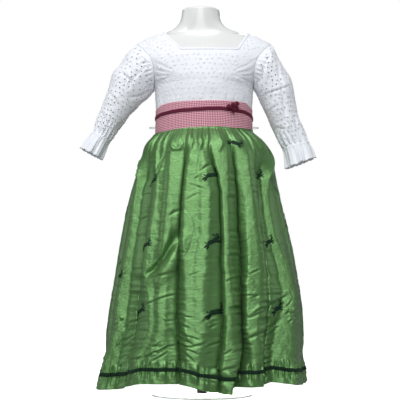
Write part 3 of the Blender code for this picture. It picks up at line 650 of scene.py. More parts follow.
def back_facets():
    """Facets round the back, spread unevenly, in the same form as the front's table."""
    chance = np.random.RandomState(4)
    step = BACK_SPAN / (BACK_FACETS + 0.5)
    rows = []
    for k in range(BACK_FACETS):
        middle = BACK_START + step * (k + 0.3)
        drift = np.cumsum(chance.uniform(-1.6, 1.6, len(FACET_HEIGHTS)))
        half = chance.uniform(2.6, 4.6) + chance.uniform(-0.8, 0.8, len(FACET_HEIGHTS))
        left = middle + drift - half
        right = middle + drift + half
        valley = right + (step - 2 * half) * chance.uniform(0.35, 0.65)
        depth = (chance.uniform(3, 5), chance.uniform(7, 12), chance.uniform(9, 17))
        rows.append((left, right, valley, depth, chance.uniform(0.1, 0.95)))
    return rows


FIELD_START = -96.0
FIELD_STEP = 0.25
FIELD_LOW = 18.0
FIELD_RISE = 1.25
FIELD_ANGLES = np.arange(FIELD_START, FIELD_START + 360.0, FIELD_STEP)
FIELD_HEIGHTS = np.arange(FIELD_LOW, 536.0, FIELD_RISE)


def straight_share(angle, z):
    """Where the folds stand out straight to the front, not away from the axis, from 0 to 1."""
    return smooth_step((80 - np.abs(wrapped(angle))) / 14) * lower(z, 475, 80)


def ragged(z, seed, lengths, size):
    """An uneven sideways stray up and down a line, in degrees."""
    chance = np.random.RandomState(seed)
    total = 0 * z
    for length in lengths:
        total = total + chance.uniform(0.6, 1.0) * np.sin(2 * np.pi * z / length + chance.uniform(0, 6.28))
    calm = 0.35 + 0.65 * smooth_step(0.5 + np.sin(2 * np.pi * z / 113 + chance.uniform(0, 6.28)))
    return size * calm * total / math.sqrt(len(lengths))


def facet_table(z):
    """Each facet's edges, middle, half width, valley, depth and sharpness at heights z."""
    table = []
    for k, (left, right, valley, depth, sharp) in enumerate((*FACETS, *back_facets())):
        left, right, valley = [Curve(zip(FACET_HEIGHTS, angles))(z) for angles in (left, right, valley)]
        if k == OVERLAP_ROW:
            low = lower(z, 90, 62)
            left, right, valley = left - 1.0 * low, right - 4.0 * low, valley - 5.4 * low
        middle, half = (left + right) / 2, (right - left) / 2
        more = 0.7 + 0.5 * lower(z, 330, 150)
        room = np.clip((right - left) / 4, 0.1, 1.0)
        left = left + more * room * ragged(z, 3 * k + 1, (9, 17, 26, 43), FACET_STRAY)
        right = right + more * room * ragged(z, 3 * k + 2, (11, 16, 29, 52), FACET_STRAY)
        valley = valley + ragged(z, 3 * k + 3, (31, 47, 90), 0.45)
        table.append((left, right, middle, half, valley, Curve(zip(VALLEY_HEIGHTS, depth))(z), sharp))
    return table


# Steps of the field to each side over which the facets' edges are blurred
EDGE_BLUR = 9


def facet_field():
    """The large folds' relief on a field of angles and heights."""
    angle = FIELD_ANGLES[None, :]
    z = FIELD_HEIGHTS[:, None]
    table = facet_table(z)
    wide = (SKIRT_CURVES["left"](z) + SKIRT_CURVES["right"](z)) / 2
    front = SKIRT_CURVES["front"](z)
    relief = np.zeros((len(FIELD_HEIGHTS), len(FIELD_ANGLES)))
    lines = np.zeros(relief.shape)
    edges = []
    for _, _, centre, half, _, _, _ in table:
        middle = np.radians(centre)
        facing = np.degrees(np.arctan2(np.sin(middle) / wide, np.cos(middle) / front))
        turn = np.clip(np.abs(facing) - FACET_TURN, 0, FACET_MOST) * np.sign(facing)
        turn = np.where(np.abs(facing) < 75, turn, 8.0 * np.sin(middle * 5))
        length = np.hypot(wide * np.cos(middle), front * np.sin(middle)) * math.pi / 180
        aside = smooth_step((np.abs(facing) - 30) / 16) * lower(z, 490, 90)
        most = (FACET_RISE * (1 + 3.0 * aside) + 9.0 * aside * lower(z, 330, 180)) / half
        straight = np.sin(np.radians(turn)) / np.cos(np.radians(facing - turn))
        slope = blend(np.tan(np.radians(turn)), straight, straight_share(centre, z))
        slope = np.clip(slope * length, -most, most)
        place = -front * np.cos(middle)
        steady = np.polyval(np.polyfit(z[:, 0], place[:, 0], 1), z)
        level = (place - steady) * straight_share(centre, z) * smooth_step((np.abs(facing) - 25) / 15)
        edges.append((slope, level - 0.75 * aside * np.abs(slope) * half))
    for k, (left, right, middle, _, valley, depth, sharp) in enumerate(table):
        slope, sunk_by = edges[k]
        following = (k + 1) % len(table)
        round_by = 360.0 if following == 0 else 0.0
        next_left, next_middle = table[following][0] + round_by, table[following][2] + round_by
        next_slope, next_by = edges[following]
        on_facet = (angle >= left) & (angle <= right)
        relief = np.where(on_facet, slope * (angle - middle) + sunk_by, relief)
        gap = np.maximum(next_left - right, 0.05)
        t = (angle - right) / gap
        place = np.clip((valley - right) / gap, 0.08, 0.92)
        tent = np.clip(np.where(t < place, t / place, (1 - t) / (1 - place)), 0, 1)
        shape = blend(0.5 - 0.5 * np.cos(np.pi * tent), tent**1.15, sharp)
        start = slope * (right - middle) + sunk_by
        end = next_slope * (next_left - next_middle) + next_by
        sunk = blend(start, end, t) - depth * shape
        relief = np.where((t > 0) & (t < 1), sunk, relief)
        if sharp > SHARP_FROM:
            slit = SLIT_DEPTH * (1 - 0.6 * smooth_step((np.abs(wrapped(middle)) - 24) / 12))
            lines -= slit * np.exp(-(((angle - valley) / SLIT_WIDTH) ** 2)) * lower(z, 500, 60)
    shifts = np.arange(-EDGE_BLUR, EDGE_BLUR + 1)
    weights = np.exp(-((shifts / (EDGE_BLUR / 3)) ** 2) / 2)
    weights /= weights.sum()
    relief = sum(w * np.roll(relief, k, axis=1) for w, k in zip(weights, shifts))
    return (relief + lines) * smooth_step((band_bottom(angle) - z) / 60.0)


def roll_field():
    """How far sideways the edge of each sharp fold hangs over its valley."""
    angle = FIELD_ANGLES[None, :]
    z = FIELD_HEIGHTS[:, None]
    total = np.zeros((len(FIELD_HEIGHTS), len(FIELD_ANGLES)))
    for k, (_, _, _, _, valley, _, sharp) in enumerate(facet_table(z)):
        if sharp > SHARP_FROM:
            roll = FOLD_ROLL * lower(z, 505, 80)
            if k == OVERLAP_ROW:
                roll = roll + OVERLAP_ROLL * lower(z, 230, 180)
            width = 1.25 + 0.05 * roll
            total += roll * np.exp(-(((angle - valley + 0.5 + width) / width) ** 2))
    return total


def gather(angle, z):
    """How far the fine gathers under the waist stand out."""
    below = band_bottom(angle) - z
    height = blend(GATHER_AT_SEAM, GATHER_FULL, smooth_step(below / 18.0))
    height = height * (1 - smooth_step((below - 16.0) / GATHER_FADE))
    uneven = angle + 2.8 * np.sin(np.radians(angle * 7 + 20)) + 1.3 * np.sin(np.radians(angle * 17))
    wave = 0.5 - 0.5 * np.cos(np.radians((uneven - 90) * GATHERS))
    strong = 0.7 + 0.4 * np.sin(np.radians(angle * 11 + 50)) * np.sin(np.radians(angle * 5))
    fine = 0.5 * np.sin(np.radians(angle * 101)) * np.exp(-((below / 22) ** 2))
    return height * strong * wave**1.3 + fine * smooth_step(below / 5)


def degree_mm(z):
    """Length of one degree round the skirt at height z."""
    wide = (SKIRT_CURVES["left"](z) + SKIRT_CURVES["right"](z)) / 2
    deep = (SKIRT_CURVES["front"](z) + SKIRT_CURVES["back"](z)) / 2
    return np.sqrt((wide**2 + deep**2) / 2) * math.pi / 180


# Small creases of the sides and back, and how much all creases are deepened, those whose middle
# is under LOW_CREASE more
SMALL_CREASES = 46
CREASE_GAIN = 1.15
LOW_CREASE_GAIN = 1.45
LOW_CREASE = 200


def hidden_creases():
    """Creases for the sides and back, where the front's table has none, and small ones low down."""
    chance = np.random.RandomState(8)
    creases = []
    for count, first, last, lowest, highest, lean in CREASE_GROUPS:
        for _ in range(count):
            angle = chance.uniform(first, last)
            z = chance.uniform(lowest, highest)
            run = chance.uniform(3, 9)
            rise = lean * run * chance.uniform(0.5, 2.2)
            bend = chance.uniform(-2.5, 2.5)
            line = ((angle, z), (angle + run * 0.45, z + rise * 0.5 + bend), (angle + run, z + rise))
            creases.append((chance.uniform(2.0, 3.2), chance.uniform(1.2, 2.4), line))
    for _ in range(SMALL_CREASES):
        angle = chance.uniform(72, 292)
        z = chance.uniform(60, 455)
        run = chance.uniform(6, 20)
        rise = run * chance.uniform(0.3, 2.2) * chance.choice((-1, 1))
        bend = chance.uniform(-4, 4)
        line = ((angle, z), (angle + run / 2, z + rise / 2 + bend), (angle + run, z + rise))
        creases.append((chance.uniform(2.5, 4.5), chance.uniform(1.0, 2.8), line))
    return creases


def skirt_creases(angle, z):
    """The sharp creases, worked out in millimetres along the cloth."""
    total = np.zeros(angle.shape)
    listed = [(crease, True) for crease in (*SKIRT_CREASES, *hidden_creases())]
    listed += [(crease, False) for crease in WAIST_LOOPS]
    for (width, depth, line), trough in listed:
        line = np.array(line, float)
        scale = float(degree_mm(line[:, 1].mean()))
        depth = depth * (LOW_CREASE_GAIN if line[:, 1].mean() < LOW_CREASE else CREASE_GAIN)
        start = line[0, 0]
        flat = np.stack([(line[:, 0] - start) * scale, line[:, 1]], axis=-1)
        total += line_relief(wrapped(angle - start) * scale, z, [(width, depth, flat)], trough)
    return total


def hem_puckers(angle, z):
    """Small gathers along both edges of the hem ribbon, and soft waves in the flounce."""
    off = z - HEM_RIBBON_MIDDLE
    uneven = angle + 1.1 * np.sin(np.radians(angle * 23)) + 0.8 * np.sin(np.radians(angle * 41 + 30))
    wave = np.cos(np.radians(uneven * 128)) + 0.8 * np.cos(np.radians(uneven * 67 + 40))
    wave = np.sign(wave) * np.abs(wave) ** 1.3
    above = np.exp(-(((off - 8) / 6.5) ** 2))
    below = np.exp(-(((off + 8) / 7.5) ** 2))
    pinch = (1.5 + 1.4 * np.abs(np.cos(np.radians(angle)))) * wave * (above + below)
    flounce = 1.6 * np.cos(np.radians(uneven * 31)) * smooth_step(-(off + 4) / 24)
    drawn_in = np.where(wrapped(angle) < 0, 5.0, 3.5) * np.exp(-(((np.abs(wrapped(angle)) - 90) / 24) ** 2))
    return pinch + flounce - drawn_in * np.exp(-(((z - 80) / 27) ** 2))


def relief_field():
    """All of the skirt's relief on the field: folds, gathers, creases, crumples and puckers."""
    angle = np.broadcast_to(FIELD_ANGLES[None, :], (len(FIELD_HEIGHTS), len(FIELD_ANGLES)))
    z = np.broadcast_to(FIELD_HEIGHTS[:, None], angle.shape)
    scale = degree_mm(z)
    settled = smooth_step((band_bottom(angle) - z - 8) / 40)
    crumple = 0.4 * ripple(wrapped(angle) * scale, z * 1.7, 3, 36)
    crumple += 0.2 * ripple(wrapped(angle) * scale, z * 2.0, 5, 14, 14)
    crumple *= 1 + 0.6 * lower(z, 190, 130)
    return (
        facet_field()
        + gather(angle, z)
        + (crumple + skirt_creases(angle, z)) * settled
        + hem_puckers(angle, z)
    )


SKIRT_RELIEF = relief_field()
SKIRT_ROLL = roll_field()


def field_at(field, angle, z):
    """A field's value between its points."""
    column = (np.asarray(angle) - FIELD_START) % 360.0 / FIELD_STEP
    row = np.clip((z - FIELD_LOW) / FIELD_RISE, 0, len(FIELD_HEIGHTS) - 1.001)
    c, r = np.floor(column).astype(int), np.floor(row).astype(int)
    across, up = column - c, row - r
    c = c % len(FIELD_ANGLES)
    right = (c + 1) % len(FIELD_ANGLES)
    low = blend(field[r, c], field[r, right], across)
    high = blend(field[r + 1, c], field[r + 1, right], across)
    return blend(low, high, up)


def skirt_point(angle, z, out=0.0):
    """The skirt's surface in a direction, at height z on a level hem, moved out."""
    angle, z = np.broadcast_arrays(np.asarray(angle, float), np.asarray(z, float))
    turn = np.radians(angle)
    wide = np.where(np.sin(turn) > 0, SKIRT_CURVES["right"](z), SKIRT_CURVES["left"](z))
    deep = np.where(np.cos(turn) > 0, SKIRT_CURVES["front"](z), SKIRT_CURVES["back"](z))
    base = np.stack([wide * np.sin(turn), -deep * np.cos(turn), 0 * z], axis=-1)
    outward = unit(np.stack([np.sin(turn) / wide, -np.cos(turn) / deep, 0 * z], axis=-1))
    away = unit(blend(outward, np.array((0.0, -1.0, 0.0)), straight_share(angle, z)[..., None]))
    point = base + away * field_at(SKIRT_RELIEF, angle, z)[..., None] + outward * out
    tangent = np.stack([-outward[..., 1], outward[..., 0], 0 * z], axis=-1)
    point += tangent * field_at(SKIRT_ROLL, angle, z)[..., None]
    hem = HEM_HEIGHT(wrapped(angle)) - HEM_NOMINAL
    point[..., 2] = z + hem * (1 - smooth_step((z - HEM_NOMINAL) / HEM_REACH))
    return point


# Mesh making


def mesh_object(name, points, faces, material, uvs=None):
    """A mesh in the row's frame from points in the dress's millimetres."""
    mesh = bpy.data.meshes.new(name)
    mesh.from_pydata(((points + DRESS_AXIS) * MM).tolist(), [], faces.tolist())
    if uvs is not None:
        layer = mesh.uv_layers.new(name="Cloth")
        layer.uv.foreach_set("vector", (uvs / UV_UNIT).astype(np.float32).ravel())
    mesh.shade_smooth()
    obj = bpy.data.objects.new(name, mesh)
    obj.data.materials.append(material)
    bpy.context.scene.collection.objects.link(obj)
    return obj


def grid_object(name, points, uv, material, closed=False, keep=None):
    """A surface on a grid of points: rows up, columns anticlockwise from above. A closed grid's
    uv has one column more."""
    rows, across = points.shape[:2]
    cells = across if closed else across - 1
    if keep is None:
        keep = np.ones((rows - 1, cells), bool)
    r, c = np.nonzero(keep)
    right = (c + 1) % across
    low, high = r * across, (r + 1) * across
    quads = np.stack([low + c, low + right, high + right, high + c], 1)
    corners = np.stack([uv[r, c], uv[r, c + 1], uv[r + 1, c + 1], uv[r + 1, c]], 1).reshape(-1, 2)
    used, faces = np.unique(quads, return_inverse=True)
    return mesh_object(name, points.reshape(-1, 3)[used], faces.reshape(-1, 4), material, corners)


def grid_uv(points, closed=False):
    """Lengths along the cloth from the middle column and the lowest row, in millimetres."""
    if closed:
        points = np.concatenate([points, points[:, :1]], axis=1)
    across = np.linalg.norm(np.diff(points, axis=1), axis=-1)
    u = np.concatenate([np.zeros((len(points), 1)), np.cumsum(across, axis=1)], axis=1)
    u -= u[:, [u.shape[1] // 2]]
    up = np.linalg.norm(np.diff(points, axis=0), axis=-1)
    v = np.concatenate([np.zeros((1, points.shape[1])), np.cumsum(up, axis=0)], axis=0)
    return np.stack([u, v], axis=-1)


def thicken(obj, wall):
    """Gives a sheet its wall, on the inside."""
    solid = obj.modifiers.new("thickness", "SOLIDIFY")
    solid.thickness = wall * MM
    solid.offset = -1.0
    return obj


def scatter(name, template, faces, frames, material):
    """Many copies of a small shape in one mesh. A frame is (place, along, across, normal)."""
    place, along, across, normal = (np.array(part, float) for part in zip(*frames))
    points = (
        place[:, None]
        + template[None, :, 0:1] * along[:, None]
        + template[None, :, 1:2] * across[:, None]
        + template[None, :, 2:3] * normal[:, None]
    )
    steps = np.arange(len(place))[:, None, None] * len(template)
    copies = (faces[None] + steps).reshape(-1, faces.shape[1])
    return mesh_object(name, points.reshape(-1, 3), copies, material)


def ring_template(radius, thick, height, around=9, section=4):
    """A stitched rim round an eyelet, standing half out of the cloth."""
    turns = [np.linspace(0, 2 * math.pi, count, False) for count in (around, section)]
    a, b = np.meshgrid(*turns, indexing="ij")
    reach = radius + thick * np.cos(b)
    points = np.stack([reach * np.cos(a), reach * np.sin(a), height * np.sin(b)], axis=-1).reshape(-1, 3)
    i, j = np.meshgrid(np.arange(around), np.arange(section), indexing="ij")
    here, after = i * section, (i + 1) % around * section
    j2 = (j + 1) % section
    return points, np.stack([here + j, after + j, after + j2, here + j2], -1).reshape(-1, 4)


def bead_template(length, width, height, around=6):
    """A low dome, long in one direction: a petal or a stitch."""
    points = []
    for share, rise in ((1.0, 0.0), (0.6, 0.85)):
        for k in range(around):
            a = 2 * math.pi * k / around
            points.append((length / 2 * share * math.cos(a), width / 2 * share * math.sin(a), height * rise))
    faces = []
    for k in range(around):
        k2 = (k + 1) % around
        faces.append((k, k2, around + k2, around + k))
    faces.append((around, around + 1, around + 2, around + 3))
    faces.append((around, around + 3, around + 4, around + 5))
    return np.array(points), np.array(faces)


def settle(obj, slot, *nodes):
    """The piece rides on the one body and stands for its solids, which it hides. The slot is not used."""
    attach(obj, "root")
    if nodes:
        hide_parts(*nodes)
    return obj


# Materials


def new_material(name, colour, roughness, **sockets):
    """A Principled material. A socket's name has _ for its blanks."""
    material = bpy.data.materials.new(name)
    material.use_nodes = True
    shader = material.node_tree.nodes["Principled BSDF"]
    shader.inputs["Base Color"].default_value = (*colour, 1)
    shader.inputs["Roughness"].default_value = roughness
    for socket, value in sockets.items():
        shader.inputs[socket.replace("_", " ")].default_value = value
    return material


def add_node(material, kind, inputs=None, **settings):
    node = material.node_tree.nodes.new(kind)
    for setting, value in settings.items():
        setattr(node, setting, value)
    for socket, value in (inputs or {}).items():
        if hasattr(value, "links"):
            material.node_tree.links.new(value, node.inputs[socket])
        else:
            node.inputs[socket].default_value = value
    return node


def link_shader(material, socket, output):
    shader = material.node_tree.nodes["Principled BSDF"]
    material.node_tree.links.new(output, shader.inputs[socket])


def cloth_place(material, scale):
    """Places on the cloth in hundredths of a metre, stretched by scale."""
    place = add_node(material, "ShaderNodeUVMap", uv_map="Cloth")
    stretch = add_node(material, "ShaderNodeMapping", {"Vector": place.outputs["UV"], "Scale": scale})
    return stretch.outputs["Vector"]


def noise(material, vector, scale, detail=3.0, roughness=0.55):
    inputs = {"Vector": vector, "Scale": scale, "Detail": detail, "Roughness": roughness}
    return add_node(material, "ShaderNodeTexNoise", inputs)


def solid_noise(material, scale, detail=3.0):
    """Noise through the object's own space."""
    place = add_node(material, "ShaderNodeTexCoord").outputs["Object"]
    return noise(material, place, scale, detail)


def colour_blend(material, factor, low, high):
    """A colour between two, as the factor says."""
    inputs = {0: factor, 6: (*low, 1), 7: (*high, 1)}
    return add_node(material, "ShaderNodeMix", inputs, data_type="RGBA").outputs[2]


def tint(material, texture, low, high):
    """Colours a material between two colours, as a texture says."""
    link_shader(material, "Base Color", colour_blend(material, texture.outputs["Fac"], low, high))


def vary_roughness(material, texture, low, high):
    inputs = {"Value": texture.outputs["Fac"], "To Min": low, "To Max": high}
    rough = add_node(material, "ShaderNodeMapRange", inputs)
    link_shader(material, "Roughness", rough.outputs["Result"])


def add_bumps(material, *bumps):
    """Bumps one on another: (height output, depth in millimetres, strength)."""
    normal = None
    for height, depth, strength in bumps:
        inputs = {"Height": height, "Distance": depth * MM, "Strength": strength}
        if normal is not None:
            inputs["Normal"] = normal
        normal = add_node(material, "ShaderNodeBump", inputs).outputs["Normal"]
    link_shader(material, "Normal", normal)


def maths(material, operation, a, b=0.0):
    return add_node(material, "ShaderNodeMath", {0: a, 1: b}, operation=operation).outputs[0]


def weave(material, threads_per_unit):
    """Height of a plain weave: threads over and under, in both directions."""
    place = cloth_place(material, (1, 1, 1))
    parts = add_node(material, "ShaderNodeSeparateXYZ", {"Vector": place})
    waves = []
    for axis in ("X", "Y"):
        turned = maths(material, "MULTIPLY", parts.outputs[axis], threads_per_unit * math.pi)
        waves.append(maths(material, "ABSOLUTE", maths(material, "SINE", turned)))
    return maths(material, "ADD", waves[0], waves[1])


def make_cotton(name, low, high):
    material = new_material(name, low, 0.85, Sheen_Weight=0.15, Sheen_Roughness=0.5)
    tint(material, solid_noise(material, 45.0), low, high)
    crumple = solid_noise(material, 260.0, 4.0)
    add_bumps(material, (crumple.outputs["Fac"], 0.5, 0.5), (weave(material, 200), 0.05, 0.25))
    return material


def make_thread(name, colour, low, high, roughness, scale, bump, **sockets):
    """Stitches of thread. The bump is (depth in millimetres, strength)."""
    material = new_material(name, colour, roughness, **sockets)
    thread = solid_noise(material, scale, 2.0)
    tint(material, thread, low, high)
    add_bumps(material, (thread.outputs["Fac"], *bump))
    return material


def make_gingham():
    """A woven mini check: darkest where a dark stripe crosses a dark stripe."""
    material = new_material("gingham_check", (0.6, 0.3, 0.4), 0.8, Sheen_Weight=0.1)
    place = cloth_place(material, (UV_UNIT / CHECK_SIZE, UV_UNIT / CHECK_SIZE, 1))
    parts = add_node(material, "ShaderNodeSeparateXYZ", {"Vector": place})
    stripes = []
    for axis in ("X", "Y"):
        part = maths(material, "FRACT", parts.outputs[axis])
        stripes.append(maths(material, "LESS_THAN", part, 0.52))
    dark = maths(material, "MULTIPLY", maths(material, "ADD", stripes[0], stripes[1]), 0.5)
    wear = solid_noise(material, 60.0)
    base = colour_blend(material, dark, (0.95, 0.55, 0.64), (0.21, 0.006, 0.04))
    worn = colour_blend(material, wear.outputs["Fac"], (0.42, 0.14, 0.2), (0.75, 0.42, 0.5))
    tone = add_node(material, "ShaderNodeMix", {0: 0.06, 6: base, 7: worn}, data_type="RGBA")
    link_shader(material, "Base Color", tone.outputs[2])
    add_bumps(material, (weave(material, 240), 0.06, 0.3))
    return material


def make_velvet(name, dark, light, sheen):
    material = new_material(
        name,
        dark,
        0.9,
        Sheen_Weight=0.5,
        Sheen_Roughness=0.35,
        Sheen_Tint=(*sheen, 1),
        Specular_IOR_Level=0.2,
    )
    pile = solid_noise(material, 900.0)
    tint(material, pile, dark, light)
    add_bumps(material, (pile.outputs["Fac"], 0.35, 0.7))
    return material


def make_taffeta():
    material = new_material(
        "green_taffeta",
        (0.12, 0.27, 0.085),
        0.36,
        Metallic=0.6,
        Sheen_Weight=0.05,
        Sheen_Roughness=0.5,
        Sheen_Tint=(0.5, 0.42, 0.48, 1),
    )
    cloud = noise(material, cloth_place(material, (1.2, 0.8, 1)), 2.2, 4.0)
    tint(material, cloud, (0.105, 0.24, 0.075), (0.135, 0.29, 0.10))
    crinkle = noise(material, cloth_place(material, (1.5, 3.4, 1)), 9.0, 5.0, 0.6)
    slub = noise(material, cloth_place(material, (3.0, 60.0, 1)), 3.0, 2.0)
    add_bumps(
        material,
        (crinkle.outputs["Fac"], 2.2, 0.5),
        (slub.outputs["Fac"], 0.12, 0.4),
        (weave(material, 260), 0.03, 0.2),
    )
    return material


def make_form_gloss():
    material = new_material("form_gloss", (0.76, 0.775, 0.765), 0.22, Coat_Weight=0.3, Coat_Roughness=0.12)
    cloud = solid_noise(material, 18.0)
    tint(material, cloud, (0.73, 0.75, 0.735), (0.79, 0.80, 0.795))
    vary_roughness(material, solid_noise(material, 120.0, 5.0), 0.18, 0.3)
    add_bumps(material, (cloud.outputs["Fac"], 0.3, 0.2))
    return material


def make_metal(name, low, high, roughness, specular):
    material = new_material(name, low, roughness, Specular_IOR_Level=specular)
    fine = solid_noise(material, 500.0, 4.0)
    tint(material, fine, low, high)
    vary_roughness(material, fine, roughness - 0.08, roughness + 0.1)
    add_bumps(material, (fine.outputs["Fac"], 0.05, 0.3))
    return material


cotton = make_cotton("bodice_cotton", (0.79, 0.82, 0.88), (0.88, 0.90, 0.95))
sleeve_cotton = make_cotton("sleeve_cotton", (0.78, 0.815, 0.88), (0.88, 0.91, 0.95))
white_thread = make_thread(
    "white_embroidery",
    (0.9, 0.92, 0.96),
    (0.84, 0.87, 0.92),
    (0.94, 0.95, 0.98),
    0.55,
    1500.0,
    (0.15, 0.6),
    Sheen_Weight=0.2,
)
grey_thread = make_velvet("grey_thread", (0.30, 0.32, 0.33), (0.44, 0.46, 0.47), (0.5, 0.5, 0.5))
gingham = make_gingham()
burgundy = make_velvet("burgundy_velvet", (0.075, 0.008, 0.022), (0.15, 0.02, 0.045), (0.6, 0.2, 0.3))
dark_velvet = make_velvet(
    "dark_green_velvet", (0.003, 0.014, 0.007), (0.011, 0.034, 0.016), (0.05, 0.12, 0.075)
)
taffeta = make_taffeta()
dark_thread = make_thread(
    "dark_green_thread",
    (0.006, 0.03, 0.02),
    (0.003, 0.018, 0.008),
    (0.01, 0.04, 0.018),
    0.6,
    1300.0,
    (0.2, 0.8),
    Specular_IOR_Level=0.15,
)
form_gloss = make_form_gloss()
pole_paint = make_metal("pole_paint", (0.008, 0.008, 0.008), (0.02, 0.02, 0.02), 0.7, 0.15)
plate_paint = make_metal("plate_paint", (0.86, 0.86, 0.86), (0.92, 0.92, 0.92), 0.55, 0.5)


# Eyelet cloth

# The eyelets' pattern: steps across and up, how far an eyelet strays, how near a grid point must
# be to stand for one, and the least room between two
EYELET_ACROSS = 11.0
EYELET_UP = 9.6
EYELET_STRAY = 1.3
EYELET_NEAR = 1.2
EYELET_ROOM = 4.6

# How far outside a hole the grid's points still move onto its rim, the petals round an eyelet,
# and how far outside the hole a petal's middle is
EYELET_RIM = 1.3
PETALS = 6
PETAL_OUT = 2.1

# Eyelets of the bodice and sleeves: hole radius, rim thickness, petal length, width and height
BODICE_EYELET = (1.1, 1.05, 2.4, 1.25, 0.35)
SLEEVE_EYELET = (1.6, 0.5, 2.8, 1.6, 0.5)


def eyelet_places(u, v, points, allowed):
    """Grid indices of the eyelets' middles: a staggered pattern along the cloth."""
    row = np.round(v / EYELET_UP)
    shift = np.where(row % 2 == 0, 0.0, 0.5)
    col = np.round(u / EYELET_ACROSS - shift)
    stray_u = EYELET_STRAY * np.sin(row * 12.99 + col * 78.23)
    stray_v = EYELET_STRAY * np.sin(row * 39.35 + col * 11.14)
    away = np.hypot(u - (col + shift) * EYELET_ACROSS - stray_u, v - row * EYELET_UP - stray_v)
    found = {}
    for i in np.argsort(away, axis=None):
        if away.flat[i] > EYELET_NEAR:
            break
        key = (int(row.flat[i]), int(col.flat[i]))
        if key not in found and allowed.flat[i]:
            found[key] = i
    flat = points.reshape(-1, 3)
    kept = []
    for i in found.values():
        if all(np.linalg.norm(flat[i] - flat[j]) > EYELET_ROOM for j in kept[-60:]):
            kept.append(i)
    return np.array(kept)


def cut_eyelets(points, centres, radius, closed):
    """Opens a round hole at each centre: moves the grid's points onto its rim, and returns the
    cells that stay."""
    flat = points.reshape(-1, 3)
    tree = kdtree.KDTree(len(centres))
    for k, i in enumerate(centres):
        tree.insert(Vector(flat[i]), k)
    tree.balance()
    places = flat[centres].copy()
    distance = np.empty(len(flat))
    nearest = np.empty(len(flat), int)
    for i, point in enumerate(flat):
        _, nearest[i], distance[i] = tree.find(Vector(point))
    distance = distance.reshape(points.shape[:2])
    inside = distance < radius
    if closed:
        inside = np.concatenate([inside, inside[:, :1]], axis=1)
    corners = inside[:-1, :-1].astype(int) + inside[:-1, 1:] + inside[1:, :-1] + inside[1:, 1:]
    keep = corners < 2
    gone = np.zeros(points.shape[:2], bool)
    r, c = np.nonzero(~keep)
    for dr in (0, 1):
        for dc in (0, 1):
            gone[r + dr, (c + dc) % points.shape[1]] = True
    rim = (gone & (distance < radius + EYELET_RIM)).reshape(-1)
    middles = places[nearest[rim]]
    flat[rim] = middles + unit(flat[rim] - middles) * radius
    return keep


def eyelet_trim(name, points, normals, centres, along, eyelet):
    """The stitched rims, and petals round them."""
    radius, thick, *petal_size = eyelet
    flat, flat_normals, flat_along = (part.reshape(-1, 3) for part in (points, normals, along))
    rims, petals = [], []
    for i in centres:
        normal = flat_normals[i]
        side = flat_along[i] - normal * (flat_along[i] @ normal)
        side /= max(np.linalg.norm(side), 1e-9)
        up = np.cross(normal, side)
        place = flat[i]
        rims.append((place, side, up, normal))
        for k in range(PETALS):
            a = math.pi / PETALS + 2 * math.pi / PETALS * k
            spoke = side * math.cos(a) + up * math.sin(a)
            across = np.cross(normal, spoke)
            petals.append((place + spoke * (radius + PETAL_OUT) - normal * 0.05, spoke, across, normal))
    ring, ring_faces = ring_template(radius + 0.1, thick, min(thick, 0.5))
    petal, petal_faces = bead_template(*petal_size)
    rings = scatter(name + "_rims", ring, ring_faces, rims, white_thread)
    flowers = scatter(name + "_petals", petal, petal_faces, petals, white_thread)
    return [rings, flowers]


# Bodice

SIDE_COLUMNS = 62
MIDDLE_COLUMNS = 104
LOWER_ROWS = 44
ARMHOLE_ROWS = 64
STRAP_ROWS = 46
NECK_ROW_TURN = 120.0


def panel_turns(neck, outer):
    """The turns of a panel's columns round its section, in radians, left to right."""
    wide = HALF_WIDTH(neck["height"])
    left = math.asin(neck["left"] / wide)
    right = math.asin(neck["right"] / wide)
    return np.concatenate(
        [
            np.linspace(-outer, -left, SIDE_COLUMNS, False),
            np.linspace(-left, right, MIDDLE_COLUMNS, False),
            np.linspace(right, outer, SIDE_COLUMNS + 1),
        ]
    )


def inwards():
    """How far each column is from the panel's side to its middle part, from 0 to 1."""
    last = 2 * SIDE_COLUMNS + MIDDLE_COLUMNS
    c = np.arange(last + 1)
    return np.minimum(1.0, np.minimum(c, last - c) / SIDE_COLUMNS)


def panel_grid(side, neck):
    """Grid of a bodice panel: from the waist past the armhole and up the straps."""
    armpit = float(armhole_z(0))
    middle = inwards()
    rows = []
    turns = panel_turns(neck, math.pi / 2)
    for share in np.linspace(0, 1, LOWER_ROWS, False):
        angle = np.degrees(turns) if side == "front" else 180 - np.degrees(turns)
        z = blend(band_top(angle) - 3.0, armpit, share)
        rows.append(body_point(HALF_WIDTH(z) * np.sin(turns), z, side))
    for step in np.linspace(0, NECK_ROW_TURN, ARMHOLE_ROWS):
        outer_z = float(armhole_z(step))
        level = (outer_z - armpit) / (float(armhole_z(NECK_ROW_TURN)) - armpit)
        middle_z = blend(armpit, neck["height"], level)
        edge = ARMHOLE_WIDTH(outer_z) / HALF_WIDTH(outer_z)
        turns = panel_turns(neck, math.asin(min(1.0, float(edge))))
        z = blend(outer_z, middle_z, middle)
        rows.append(body_point(HALF_WIDTH(z) * np.sin(turns), z, side))
    base = rows[-1]
    high = float(armhole_z(180))
    shoulder_x = float(ARMHOLE_WIDTH(high))
    for share in np.linspace(0, 1, STRAP_ROWS + 1)[1:]:
        neck_x = np.where(base[:, 0] > 0, NECK_POINT_RIGHT, NECK_POINT_LEFT)
        top_x = np.copysign(blend(shoulder_x, neck_x, middle), base[:, 0])
        z = blend(base[:, 2], ridge_height(np.abs(top_x)), share)
        x = blend(base[:, 0], top_x, share)
        for c in (0, len(x) - 1):
            x[c] = math.copysign(float(ARMHOLE_WIDTH(z[c])), base[c, 0])
        rows.append(body_point(x, z, side))
    return np.array(rows)


# Creases that run in from each armhole: height at the seam, rise for each millimetre, depth
ARMHOLE_CREASES = ((640, -0.35, 1.3), (628, -0.1, 1.2), (616, 0.2, 1.1), (655, -0.6, 0.9))

